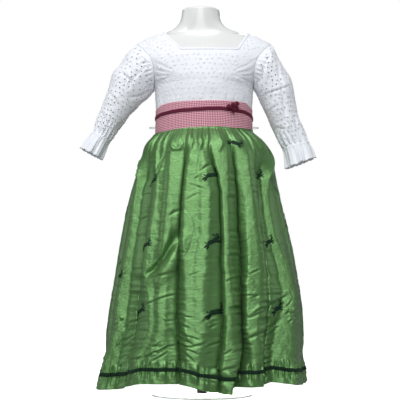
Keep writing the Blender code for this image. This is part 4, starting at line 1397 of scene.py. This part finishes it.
# Their points: how far from the middle, and the length by which each has risen
ARMHOLE_CREASE_POINTS = ((97.0, 0), (78.0, 19), (58.0, 36))


def bodice_relief(points, side):
    """Soft creases of the bodice, which fade out at its edges."""
    x, z = points[..., 0], points[..., 2]
    seed = 11 if side == "front" else 12
    relief = 0.45 * ripple(x, z, seed, 46)
    for sign in (-1, 1):
        for start_z, tilt, depth in ARMHOLE_CREASES:
            line = [(sign * reach, start_z + run * tilt) for reach, run in ARMHOLE_CREASE_POINTS]
            relief += line_relief(x, z, [(4.0, depth, line)])
    for k in range(9):
        middle = -80 + 20 * k + 4 * math.sin(k * 2.3)
        relief += line_relief(x, z, [(4.5, 0.8, [(middle, 566.0), (middle * 1.03, 592.0)])])
    edge = np.minimum(1, (z - 566.0) / 8)
    return relief * np.clip(edge, 0, 1)


def make_bodice_panel(side, neck):
    """One panel with its eyelets. Returns its grid, which runs left to right, and its pieces."""
    points = panel_grid(side, neck)
    neck_row = LOWER_ROWS + ARMHOLE_ROWS - 1
    uv = grid_uv(points)
    uv[neck_row + 1 :, :, 0] = uv[neck_row, :, 0]
    normal = body_normal(points)
    column = np.arange(points.shape[1])
    fade = np.minimum(1, np.minimum(column, column[::-1]) / 10)
    points = points + normal * (bodice_relief(points, side) * fade)[..., None]
    if side == "back":
        points = points[:, ::-1]
        uv = uv[:, ::-1]
    normal = normals_of(points)
    along = np.gradient(points, axis=1)
    rows, across = points.shape[:2]
    r, c = np.meshgrid(np.arange(rows), np.arange(across), indexing="ij")
    open_neck = (r > neck_row) & (c > SIDE_COLUMNS) & (c < SIDE_COLUMNS + MIDDLE_COLUMNS)
    near_neck = (r > neck_row - 7) & (c > SIDE_COLUMNS - 8) & (c < SIDE_COLUMNS + MIDDLE_COLUMNS + 8)
    edge = (r < 8) | (c < 4) | (c > across - 5) | (r > rows - 5)
    centres = eyelet_places(uv[..., 0], uv[..., 1], points, ~(open_neck | near_neck | edge))
    smooth_points = points.copy()
    keep = cut_eyelets(points, centres, BODICE_EYELET[0], False)
    cell_r, cell_c = np.meshgrid(np.arange(rows - 1), np.arange(across - 1), indexing="ij")
    keep &= (cell_r < neck_row) | (cell_c < SIDE_COLUMNS) | (cell_c >= SIDE_COLUMNS + MIDDLE_COLUMNS)
    cloth = grid_object("bodice_" + side + "_cloth", points, uv, cotton, keep=keep)
    settle(cloth, "eyelet_cotton", "bodice_" + side)
    trim = eyelet_trim("bodice_" + side, smooth_points, normal, centres, along, BODICE_EYELET)
    for piece in trim:
        settle(piece, "eyelet_cotton")
    return smooth_points, [cloth, *trim]


front_grid, front_pieces = make_bodice_panel("front", FRONT_NECK)
back_grid, back_pieces = make_bodice_panel("back", BACK_NECK)


def neck_edge(grid):
    """Points along a panel's neckline, from one shoulder round to the other."""
    neck_row = LOWER_ROWS + ARMHOLE_ROWS - 1
    left, right = SIDE_COLUMNS, SIDE_COLUMNS + MIDDLE_COLUMNS
    down = grid[:neck_row:-1, left]
    across = grid[neck_row, left : right + 1]
    up = grid[neck_row + 1 :, right]
    return np.concatenate([down, across, up])


def evenly(points, gap):
    """A closed line's points again, evenly spaced."""
    points = np.concatenate([points, points[:1]])
    steps = np.linalg.norm(np.diff(points, axis=0), axis=1)
    passed = np.concatenate([[0], np.cumsum(steps)])
    at = np.linspace(0, passed[-1], int(passed[-1] / gap), False)
    return np.stack([np.interp(at, passed, points[:, k]) for k in range(3)], axis=-1)


def rounded(points, times, closed=True):
    """The line, smoothed a number of times."""
    for _ in range(times):
        if closed:
            points = (np.roll(points, 1, axis=0) + 2 * points + np.roll(points, -1, axis=0)) / 4
        else:
            inner = (points[:-2] + 2 * points[1:-1] + points[2:]) / 4
            points = np.concatenate([points[:1], inner, points[-1:]])
    return points


BINDING_STEP = 1.4

# The binding's section: how far from the neckline onto the cloth, how far off the body
BINDING_SECTION = ((-1.0, -1.2), (-1.2, 0.3), (-0.5, 1.1), (1.0, 1.25), (2.6, 1.1), (3.4, 0.7), (3.6, 0.0))


def make_neck_binding():
    """A narrow folded strip round the neck, with a rounded section and small puckers."""
    front = neck_edge(front_grid)
    back = neck_edge(back_grid)
    line = rounded(evenly(np.concatenate([front, back]), BINDING_STEP), 7)
    normal = body_normal(line)
    into = np.cross(normal, unit(np.roll(line, -1, axis=0) - np.roll(line, 1, axis=0)))
    centre = line.mean(axis=0)
    if ((centre - line) * into).sum() > 0:
        into = -into
    passed = np.arange(len(line)) * BINDING_STEP
    pucker = 0.16 * np.sin(passed * 2 * math.pi / 4.7) + 0.1 * np.sin(passed * 2 * math.pi / 2.9)
    rows = []
    for width, lift in BINDING_SECTION:
        rows.append(line + into * width + normal * (lift + pucker * (width > -1))[:, None])
    rows = np.array(rows)
    if (np.cross(np.roll(rows[3], -1, axis=0) - rows[3], rows[4] - rows[3]) * normal).sum() < 0:
        rows = rows[::-1]
    return grid_object("neck_binding_cloth", rows, grid_uv(rows, True), cotton, closed=True)


neck_binding = settle(make_neck_binding(), "eyelet_cotton", "neck_binding")


# Sleeves and cuffs

SLEEVE_AROUND = 216
SLEEVE_UP = 176
SLEEVE_NOMINAL = 228.0
CUFF_AROUND = 216
CUFF_UP = 26


def armhole_ring(sign, turns):
    """The sleeve's first ring, on the armhole's edge."""
    z = ARMHOLE_HEIGHT + sign * ARMHOLE_RISE * np.sin(np.radians(turns))
    front = body_point(sign * ARMHOLE_WIDTH(z), z, "front")
    back = body_point(sign * ARMHOLE_WIDTH(z), z, "back")
    ring = np.where((np.cos(np.radians(turns)) > 0)[:, None], front, back)
    ring[:, 0] += sign * 0.4
    return ring


def tube_ring(row, sign, turns):
    """A ring of a sleeve or cuff, from its row in the table."""
    outer_x, outer_z, inner_x, inner_z, forward, half_depth = row
    outer = np.array((sign * outer_x, -forward, outer_z))
    inner = np.array((sign * inner_x, -forward, inner_z))
    middle = (outer + inner) / 2
    across = (outer - inner) / 2 * sign
    ahead = np.array((0.0, -half_depth, 0.0))
    turn = np.radians(turns)[:, None]
    return middle + across * np.sin(turn) + ahead * np.cos(turn)


def through_rings(rings, count):
    """Smooth rows through a few rings of points."""
    rings = np.array(rings)
    steps = np.linalg.norm(np.diff(rings, axis=0), axis=-1).mean(axis=1)
    passed = np.concatenate([[0], np.cumsum(steps)])
    slope = np.gradient(rings, passed, axis=0)
    at = np.linspace(0, passed[-1], count)
    i = np.clip(np.searchsorted(passed, at, side="right") - 1, 0, len(passed) - 2)
    width = (passed[i + 1] - passed[i])[:, None, None]
    t = ((at - passed[i]) / (passed[i + 1] - passed[i]))[:, None, None]
    start = rings[i] * (1 + 2 * t) * (1 - t) ** 2 + slope[i] * width * t * (1 - t) ** 2
    end = rings[i + 1] * t * t * (3 - 2 * t) - slope[i + 1] * width * t * t * (1 - t)
    return start + end


def make_sleeve(name, sign, table, creases):
    """A sleeve with its eyelets: creased, gathered at its head and at the wrist."""
    turns = np.arange(SLEEVE_AROUND) * 360 / SLEEVE_AROUND
    rings = [armhole_ring(sign, turns)] + [tube_ring(row, sign, turns) for row in table]
    points = through_rings(rings, SLEEVE_UP)[::-1]
    normal = normals_of(points, True)
    share = np.linspace(1, 0, SLEEVE_UP)[:, None]
    angle = turns[None, :]
    u = turns / 360 * SLEEVE_NOMINAL
    down = grid_uv(points, True)[..., 1]
    v = down[-1].mean() - down[:, :-1]
    x, z = points[..., 0], points[..., 2]
    front = smooth_step(np.cos(np.radians(angle)) * 2)
    relief = line_relief(x, z, creases) * front
    mirrored = [(w, d * 0.9, [(px, pz + 7) for px, pz in line]) for w, d, line in creases]
    relief += line_relief(x, z, mirrored) * smooth_step(-np.cos(np.radians(angle)) * 2)
    relief += 0.9 * ripple(u[None, :] + 0 * v, v, 21 + sign, 52)
    uneven = angle + 6 * np.sin(np.radians(angle * 3 + 40 * sign))
    wrist = smooth_step((share - 0.72) / 0.28)
    relief += 1.7 * np.cos(np.radians(uneven * 15)) * wrist
    head = np.exp(-(((share - 0.055) / 0.05) ** 2))
    relief += 0.9 * np.cos(np.radians(uneven * 26)) * head
    relief *= smooth_step(share / 0.03) * smooth_step((1 - share) / 0.012)
    relief -= 0.5 * np.exp(-((share / 0.02) ** 2))
    points = points + normal * relief[..., None]
    normal = normals_of(points, True)
    along = (np.roll(points, -1, axis=1) - np.roll(points, 1, axis=1)) / 2
    closed_u = np.broadcast_to(np.append(u, SLEEVE_NOMINAL), (SLEEVE_UP, SLEEVE_AROUND + 1))
    uv = np.stack([closed_u, np.concatenate([v, v[:, :1]], 1)], -1)
    allowed = np.broadcast_to((share > 0.03) & (share < 0.955), points.shape[:2])
    centres = eyelet_places(uv[:, :-1, 0], uv[:, :-1, 1], points, allowed)
    smooth_points = points.copy()
    keep = cut_eyelets(points, centres, SLEEVE_EYELET[0], True)
    cloth = grid_object("sleeve_" + name + "_cloth", points, uv, sleeve_cotton, closed=True, keep=keep)
    settle(cloth, "eyelet_cotton", "sleeve_" + name)
    trim = eyelet_trim("sleeve_" + name, smooth_points, normal, centres, along, SLEEVE_EYELET)
    for piece in trim:
        settle(piece, "eyelet_cotton")
    return [cloth, *trim]


CUFF_SCALLOPS = 24
SCALLOP_DEPTH = 1.6


def make_cuff(name, sign, table):
    """The frill below the wrist's elastic, with a scalloped edge."""
    turns = np.arange(CUFF_AROUND) * 360 / CUFF_AROUND
    points = through_rings([tube_ring(row, sign, turns) for row in table], CUFF_UP)[::-1]
    normal = normals_of(points, True)
    share = np.linspace(1, 0, CUFF_UP)[:, None]
    angle = turns[None, :]
    uneven = angle + 3 * np.sin(np.radians(angle * 4 + 30 * sign))
    relief = CUFF_WAVE_DEPTH * share * np.cos(np.radians(uneven * CUFF_WAVES))
    relief += 0.8 * np.cos(np.radians(uneven * 23)) * (0.4 + 0.6 * share)
    relief += 0.9 * np.exp(-(((share - 0.06) / 0.08) ** 2))
    points = points + normal * relief[..., None]
    down = unit(points[0] - points[1])
    scallop = np.abs(np.sin(np.radians(turns * CUFF_SCALLOPS / 2)))[:, None]
    points[0] += down * SCALLOP_DEPTH * scallop
    points[1] += down * (SCALLOP_DEPTH / 2) * scallop
    cloth = grid_object("cuff_" + name + "_cloth", points, grid_uv(points, True), sleeve_cotton, closed=True)
    thicken(cloth, COTTON_WALL)
    return settle(cloth, "eyelet_cotton", "cuff_frill_" + name)


sleeve_parts = [
    (make_sleeve("right", 1, SLEEVE_RIGHT, SLEEVE_RIGHT_CREASES), make_cuff("right", 1, CUFF_RIGHT)),
    (make_sleeve("left", -1, SLEEVE_LEFT, SLEEVE_LEFT_CREASES), make_cuff("left", -1, CUFF_LEFT)),
]


# Waistband, ribbon, bow and cords

BAND_AROUND = 440


def make_waistband():
    """The checked band, with its edges a little raised and a slight pinch under the bow."""
    angle = (np.arange(BAND_AROUND) * 360 / BAND_AROUND)[None, :]
    share = np.linspace(0, 1, 24)[:, None]
    z = blend(band_bottom(angle) - 1.0, band_top(angle) + 0.4, share)
    points = band_point(angle + 0 * share, z)
    out = ring_point(angle, z, 1.0) - ring_point(angle, z)
    out[..., 2] = 0
    out = unit(out)
    relief = 0.35 * ripple(angle * 1.5, z, 31, 30)
    relief -= 0.7 * np.exp(-((wrapped(angle - 34.0) / 0.5) ** 2)) * smooth_step((0.55 - share) / 0.1)
    relief += sum(0.25 * np.exp(-(((share - edge) / 0.03) ** 2)) for edge in (0.04, 0.96))
    points = points + out * relief[..., None]
    cloth = grid_object("waistband_cloth", points, grid_uv(points, True), gingham, closed=True)
    return thicken(cloth, BAND_WALL)


# A ribbon's section: share of its width, share of its thickness
RIBBON_SECTION = (
    (0.0, 0.0), (0.0, 0.55), (0.06, 0.95), (0.3, 1.0), (0.5, 0.95), (0.7, 1.0), (0.94, 0.95),
    (1.0, 0.55), (1.0, 0.0),
)


def ribbon_rows(edge_low, edge_high, outward, thick):
    """A ribbon's section between two edge lines: thin edges and a flat pile between."""
    rows = [blend(edge_low, edge_high, share) + outward * thick * lift for share, lift in RIBBON_SECTION]
    return np.array(rows)


def make_waist_ribbon():
    """The ribbon round the band, with a slight sway."""
    angle = np.arange(BAND_AROUND) * 360 / BAND_AROUND
    sway = 0.25 * np.sin(np.radians(angle * 9)) + 0.15 * np.sin(np.radians(angle * 23))
    middle = ribbon_middle(angle) + sway
    low = band_point(angle, middle - RIBBON_WIDTH / 2, 0.3)
    high = band_point(angle, middle + RIBBON_WIDTH / 2, 0.3)
    rows = ribbon_rows(low, high, unit(low * (1, 1, 0)), 1.1)
    return grid_object("waist_ribbon_velvet", rows, grid_uv(rows, True), burgundy, closed=True)


waistband = settle(make_waistband(), "gingham", "waistband")
waist_ribbon = settle(make_waist_ribbon(), "burgundy_velvet", "waist_ribbon")

BOW_ANGLE = 36.0
BOW_HEIGHT = 558.5
BOW_TURN = math.radians(25.0)

# Bow loops: lean from upright, length, how far the loop opens, width, how far out its middle is
BOW_LOOPS = (
    (70.0, 14.0, 5.5, 7.5, 4.0),
    (-24.0, 12.5, 5.5, 8.0, 4.0),
    (24.0, 9.5, 4.5, 6.5, 4.6),
)

# Bow tails: lean from upright, length, width, end lift
BOW_TAILS = (
    (150.0, 5.5, 7.0, 1.4),
    (-58.0, 9.0, 7.5, 1.0),
)


def bow_place(local):
    """Bow points in the dress's frame: x along the waist, y out, z up."""
    centre = band_point(np.array(BOW_ANGLE), np.array(BOW_HEIGHT), 1.35)
    along = np.array((math.cos(BOW_TURN), math.sin(BOW_TURN), 0.0))
    out = np.array((math.sin(BOW_TURN), -math.cos(BOW_TURN), 0.0))
    up = np.array((0.0, 0.0, 1.0))
    return centre + local[..., 0:1] * along + local[..., 1:2] * out + local[..., 2:3] * up


def leaning(degrees):
    """The upward direction, leaned to the left by some degrees, and the one across it."""
    direction = np.array((-math.sin(math.radians(degrees)), 0.0, math.cos(math.radians(degrees))))
    return direction, np.array((direction[2], 0.0, -direction[0]))


def make_bow():
    """Loops, tails and a knot of velvet ribbon."""
    pieces = []
    for k, (lean, length, opening, width, out) in enumerate(BOW_LOOPS):
        turn = np.linspace(0, 2 * math.pi, 48, False)
        away = np.sin(turn / 2) ** 2
        belly = opening / 2 * np.sin(turn) * blend(0.35, 1.0, away)
        direction, across = leaning(lean)
        rows = []
        for share in np.linspace(-0.5, 0.5, 9):
            reach = 3.6 + length * away * (1 - 0.10 * abs(share) * 2)
            side = width * share * blend(0.5, 1.0, away)
            curl = 0.5 * (1 - (2 * share) ** 2) * away
            spot = reach[:, None] * direction + side[:, None] * across
            spot[:, 1] = out + belly + curl * np.sign(np.sin(turn))
            rows.append(spot)
        points = bow_place(np.array(rows))
        loop = grid_object("bow_loop_velvet_%d" % k, points, grid_uv(points, True), burgundy, closed=True)
        pieces.append(thicken(loop, LOOP_WALL))
    for k, (lean, length, width, lift) in enumerate(BOW_TAILS):
        direction, across = leaning(lean)
        rows = []
        for share in np.linspace(-0.5, 0.5, 9):
            t = np.linspace(0, 1, 16)
            notch = length * t * (1 - 0.18 * (1 - abs(2 * share)))
            side = width * share * blend(0.55, 1.0, t)
            spot = (3.0 + notch)[:, None] * direction + side[:, None] * across
            spot[:, 1] = 1.2 + lift * t + 0.4 * np.sin(t * 5 + share * 3)
            rows.append(spot)
        points = bow_place(np.array(rows))
        tail = grid_object("bow_tail_velvet_%d" % k, points, grid_uv(points), burgundy)
        pieces.append(thicken(tail, TAIL_WALL))
    rises = np.linspace(-math.pi / 2, math.pi / 2, 15)[1:-1]
    a, b = np.meshgrid(np.linspace(0, 2 * math.pi, 32, False), rises)
    wrinkle = 1 + 0.05 * np.cos(a * 5) * np.cos(b)
    x = 3.7 * np.cos(b) * np.cos(a) * wrinkle
    points = bow_place(np.stack([x, 3.0 - 2.6 * np.cos(b) * np.sin(a), 3.4 * np.sin(b)], axis=-1))
    pieces.append(grid_object("bow_knot_velvet", points, grid_uv(points, True), burgundy, closed=True))
    return pieces


# The nodes that the bow's pieces stand for, in their order
BOW_NODES = (["bow_loop_left"], ["bow_loop_right"], [], ["bow_tail_left"], ["bow_tail_right"], ["bow_knot"])

bow_pieces = make_bow()
for piece, nodes in zip(bow_pieces, BOW_NODES):
    settle(piece, "burgundy_velvet", *nodes)


def tube(name, line, radius, material, around=8):
    """A tube along a line, with closed ends."""
    along = unit(np.gradient(line, axis=0))
    side = unit(np.cross(along, np.array((0.0, 1.0, 0.0))))
    up = np.cross(side, along)
    turn = np.linspace(0, 2 * math.pi, around, False)[None, :, None]
    reach = np.full(len(line), radius)
    reach[0] = reach[-1] = radius * 0.3
    round_it = side[:, None] * np.cos(turn) + up[:, None] * np.sin(turn)
    points = line[:, None] + round_it * reach[:, None, None]
    return grid_object(name, points[::-1], grid_uv(points, True), material, closed=True)


# Cord loops at the side seams: height, how far out and up and down the loop reaches, its turns
# of twist, how far a strand is from the cord's middle, and its radius
CORD_HEIGHT = 531.0
CORD_REACH = 12.0
CORD_RISE = 1.5
CORD_TWISTS = 9
STRAND_AWAY = 0.32
STRAND_RADIUS = 0.4


def make_cord(name, sign):
    """A loop of two twisted threads at a side seam."""
    start = float(band_point(np.array(90.0 * sign), np.array(CORD_HEIGHT), 0.0)[0])
    share = np.linspace(0, 1, 70)
    reach = sign * CORD_REACH * np.sin(np.pi * share) ** 0.7
    height = CORD_HEIGHT - CORD_RISE * np.cos(np.pi * share)
    middle = np.stack([start + reach, 0 * share, height], axis=-1)
    strands = []
    for k in range(2):
        turn = share * 2 * math.pi * CORD_TWISTS + math.pi * k
        line = middle + np.stack([0 * turn, STRAND_AWAY * np.cos(turn), STRAND_AWAY * np.sin(turn)], axis=-1)
        strands.append(tube("cord_%s_%d" % (name, k), line, STRAND_RADIUS, grey_thread))
    return strands


for cord_name, cord_sign in (("left", -1), ("right", 1)):
    strands = make_cord(cord_name, cord_sign)
    settle(strands[0], "pale_thread", "belt_loop_" + cord_name)
    settle(strands[1], "pale_thread")


# Skirt

# A panel's cells across and rows up, and the turned-up edge behind its hem
PANEL_CELLS = {"front": (300, 325), "back": (240, 270)}
TURN_ROWS = 5
TURN_HEIGHT = 12.0


def make_skirt_panel(side):
    """Half of the skirt, from seam to seam, with its hem turned up inside."""
    start = -90.0 if side == "front" else 90.0
    around, up = PANEL_CELLS[side]
    angle = np.linspace(start, start + 180, around + 1)[None, :]
    share = np.linspace(0, 1, up)[:, None]
    top = band_bottom(angle) + 0.5
    z = HEM_NOMINAL + (top - HEM_NOMINAL) * share
    points = skirt_point(angle + 0 * z, z)
    turned = np.linspace(0, 1, TURN_ROWS)[:, None] * TURN_HEIGHT + 0 * angle
    inner = skirt_point(angle + 0 * turned, HEM_NOMINAL + turned, -0.9)
    points = np.concatenate([inner[::-1], points], axis=0)
    u = (angle - start - 90) * 3.0 + 0 * z
    u = np.concatenate([u[:TURN_ROWS], u], axis=0)
    v = np.concatenate([-turned[::-1], z - HEM_NOMINAL], axis=0)
    uv = np.stack([u, v], axis=-1)
    cloth = grid_object("skirt_" + side + "_taffeta", points, uv, taffeta)
    return settle(cloth, "green_taffeta", "skirt_" + side)


skirt_front = make_skirt_panel("front")
skirt_back = make_skirt_panel("back")


def skirt_spot(angle, z):
    """Places on the skirt, and their outward directions."""
    along = unit(skirt_point(angle + 0.4, z) - skirt_point(angle - 0.4, z))
    up = skirt_point(angle, z + 1.0) - skirt_point(angle, z - 1.0)
    return skirt_point(angle, z), unit(np.cross(along, up))


def make_hem_ribbon():
    """The ribbon, laid on the cloth along its normals."""
    angle = np.arange(900) * 0.4
    sway = 0.35 * np.sin(np.radians(angle * 19)) + 0.3 * np.sin(np.radians(angle * 47 + 20))
    low = skirt_point(angle, HEM_RIBBON_MIDDLE - RIBBON_WIDTH / 2 + sway, 0.25)
    high = skirt_point(angle, HEM_RIBBON_MIDDLE + RIBBON_WIDTH / 2 + sway, 0.25)
    _, out = skirt_spot(angle, HEM_RIBBON_MIDDLE + sway)
    rows = ribbon_rows(low, high, out, 1.15)
    return grid_object("hem_ribbon_velvet", rows, grid_uv(rows, True), dark_velvet, closed=True)


hem_ribbon = settle(make_hem_ribbon(), "dark_velvet", "hem_ribbon")


# A stroke's section: share of its width, height
STROKE_SECTION = ((-0.5, 0.1), (-0.3, 0.45), (0.0, 0.6), (0.3, 0.45), (0.5, 0.1))


def stag_strokes():
    """The stag's strokes as rows of points of raised strips, each with its lift off the cloth."""
    strips = []
    for order, (width, line) in enumerate(STAG):
        line = np.array(line, float)
        passed = np.concatenate([[0], np.cumsum(np.linalg.norm(np.diff(line, axis=0), axis=1))])
        at = np.linspace(0, passed[-1], max(4, int(passed[-1] / 0.9)))
        path = np.stack([np.interp(at, passed, line[:, k]) for k in (0, 1)], axis=-1)
        path = rounded(path, 2, False)
        along = unit(np.gradient(path, axis=0))
        across = np.stack([-along[:, 1], along[:, 0]], axis=-1)
        t = np.linspace(0, 1, len(path))
        taper = np.minimum(1, np.minimum(t, 1 - t) / 0.22 * 0.7 + 0.3)
        rows = [path + across * (width * side * taper)[:, None] for side, _ in STROKE_SECTION]
        lifts = [lift + 0.05 + 0.03 * (order % 4) for _, lift in STROKE_SECTION]
        strips.append((np.array(rows), np.array(lifts)))
    return strips


def make_animals():
    """Every stag in satin stitch, laid on the skirt."""
    angles, heights, lifts, faces = [], [], [], []
    count = 0
    strips = stag_strokes()
    for angle, z, size, lean in MOTIFS:
        scale = float(degree_mm(z))
        c, s = math.cos(math.radians(lean)) * size, math.sin(math.radians(lean)) * size
        for rows, lift in strips:
            across, long = rows.shape[:2]
            angles.append((angle + (rows[..., 0] * c - rows[..., 1] * s) / scale).ravel())
            heights.append((z + rows[..., 0] * s + rows[..., 1] * c).ravel())
            lifts.append(np.repeat(lift, long))
            r, k = np.meshgrid(np.arange(across - 1), np.arange(long - 1), indexing="ij")
            low = count + r * long + k
            faces.append(np.stack([low, low + 1, low + long + 1, low + long], -1).reshape(-1, 4))
            count += across * long
    place, normal = skirt_spot(np.concatenate(angles), np.concatenate(heights))
    points = place + normal * np.concatenate(lifts)[:, None]
    return mesh_object("embroidered_stags", points, np.concatenate(faces), dark_thread)


stags = settle(make_animals(), "dark_velvet")


# Dress form

FORM_AROUND = 112
FORM_UP = 190

# Rings of the form's flat top: share of the edge's width, height above the edge
FORM_LID = ((0.97, 0.15), (0.9, 0.1), (0.5, 0.0), (0.02, 0.0))


def make_form():
    """The form: hips, the body just inside the cloth, and the neck with its flat top."""
    angles = np.arange(FORM_AROUND) * 360 / FORM_AROUND
    turn = np.radians(angles)

    def plain(rows):
        rings = []
        for z, wide, deep, x in rows:
            rings.append(np.stack([x + wide * np.sin(turn), -deep * np.cos(turn), z + 0 * turn], axis=-1))
        return rings

    inside = []
    for row in BODY:
        ring = ring_point(angles, np.full(len(angles), row[0]))
        inside.append(ring - body_normal(ring) * row[4])
    neck = plain(FORM_NECK)
    top = neck[-1]
    middle = top.mean(axis=0)
    lid = [middle + (top - middle) * share + np.array((0, 0, rise)) for share, rise in FORM_LID]
    foot = plain(FORM_HIPS[:1])[0]
    base = foot.mean(axis=0)
    body = through_rings(plain(FORM_HIPS) + inside + neck[:-1], FORM_UP)
    rows = np.concatenate([[base + (foot - base) * 0.02], body, [top], lid])
    return grid_object("dress_form_gloss", rows, grid_uv(rows, True), form_gloss, closed=True)


form = settle(make_form(), "form_white", "dress_form")
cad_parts["stand_pole"].data.materials[0] = pole_paint
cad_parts["stand_plate"].data.materials[0] = plate_paint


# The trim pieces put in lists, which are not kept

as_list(front_pieces[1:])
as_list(back_pieces[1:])
for pieces, cuff in sleeve_parts:
    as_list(pieces[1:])


# Stage

STAGE_HALF = 48.0
FLOOR_BELOW = 0.0002


def make_stage():
    """A pale floor that runs on to the horizon."""
    mesh = bpy.data.meshes.new("floor")
    signs = ((-1, -1), (1, -1), (1, 1), (-1, 1))
    corners = [(x * STAGE_HALF, y * STAGE_HALF, -FLOOR_BELOW) for x, y in signs]
    mesh.from_pydata(corners, [], [(0, 1, 2, 3)])
    floor = bpy.data.objects.new("floor", mesh)
    material = new_material("floor_paper", (0.35, 0.35, 0.35), 0.9, Emission_Color=(1, 1, 1, 1))
    path = add_node(material, "ShaderNodeLightPath")
    link_shader(material, "Emission Strength", path.outputs["Is Camera Ray"])
    floor.data.materials.append(material)
    bpy.context.scene.collection.objects.link(floor)


SKY_COLOUR = (0.93, 0.95, 1.0, 1)
SKY_STRENGTH = 0.17


def make_world():
    """White where the camera looks, and a dim cool light on the object."""
    world = bpy.data.worlds.new("studio")
    bpy.context.scene.world = world
    world.use_nodes = True
    tree = world.node_tree
    ground = tree.nodes["Background"]
    ground.inputs["Color"].default_value = SKY_COLOUR
    ground.inputs["Strength"].default_value = SKY_STRENGTH
    seen = tree.nodes.new("ShaderNodeBackground")
    seen.inputs["Color"].default_value = (1, 1, 1, 1)
    seen.inputs["Strength"].default_value = 1.0
    path = tree.nodes.new("ShaderNodeLightPath")
    mix = tree.nodes.new("ShaderNodeMixShader")
    tree.links.new(path.outputs["Is Camera Ray"], mix.inputs[0])
    tree.links.new(ground.outputs[0], mix.inputs[1])
    tree.links.new(seen.outputs[0], mix.inputs[2])
    tree.links.new(mix.outputs[0], tree.nodes["World Output"].inputs["Surface"])


def add_light(name, place, target, size, power, spread=180.0):
    """A soft lamp that faces its target."""
    data = bpy.data.lights.new(name, "AREA")
    data.shape = "RECTANGLE"
    data.size, data.size_y = size
    data.energy = power
    data.spread = math.radians(spread)
    light = bpy.data.objects.new(name, data)
    light.location = place
    light.rotation_mode = "QUATERNION"
    light.rotation_quaternion = (Vector(target) - Vector(place)).to_track_quat("-Z", "Y")
    bpy.context.scene.collection.objects.link(light)


# Lights: name, place, target, width and height, power, and spread for a narrow one
LIGHTS = (
    ("front", (-0.15, -2.9, 0.98), (0.0, 0.0, 0.42), (1.4, 2.0), 28.5),
    ("top", (-0.4, -1.6, 2.7), (0.0, 0.0, 0.45), (2.4, 1.6), 61.0),
    ("left", (-2.57, 0.7, 1.2), (0.0, 0.0, 0.4), (0.6, 1.8), 6.5),
    ("right", (2.57, 0.7, 1.2), (0.0, 0.0, 0.4), (0.6, 1.8), 6.5),
    ("back", (0.3, 2.8, 1.4), (0.0, 0.0, 0.4), (1.4, 2.0), 42.0),
    ("under", (0.0, 0.0, 0.34), (0.0, 0.0, 0.0), (0.16, 0.12), 0.9, 75.0),
)

CAMERA_PLACE = (-0.004, -2.243, 0.2143)
CAMERA_TILT = 2.367
CAMERA_LENS = 101.53
CAMERA_SHIFT = 0.10


def make_camera():
    """The photograph's viewing angle and frame."""
    data = bpy.data.cameras.new("camera")
    data.sensor_width = 36.0
    data.lens = CAMERA_LENS
    data.shift_y = CAMERA_SHIFT
    data.clip_end = 100.0
    camera = bpy.data.objects.new("camera", data)
    camera.location = CAMERA_PLACE
    camera.rotation_euler = (math.radians(90 + CAMERA_TILT), 0, 0)
    bpy.context.scene.collection.objects.link(camera)
    bpy.context.scene.camera = camera


make_stage()
make_world()
for light in LIGHTS:
    add_light(*light)
make_camera()
bpy.context.scene.view_settings.view_transform = "Standard"
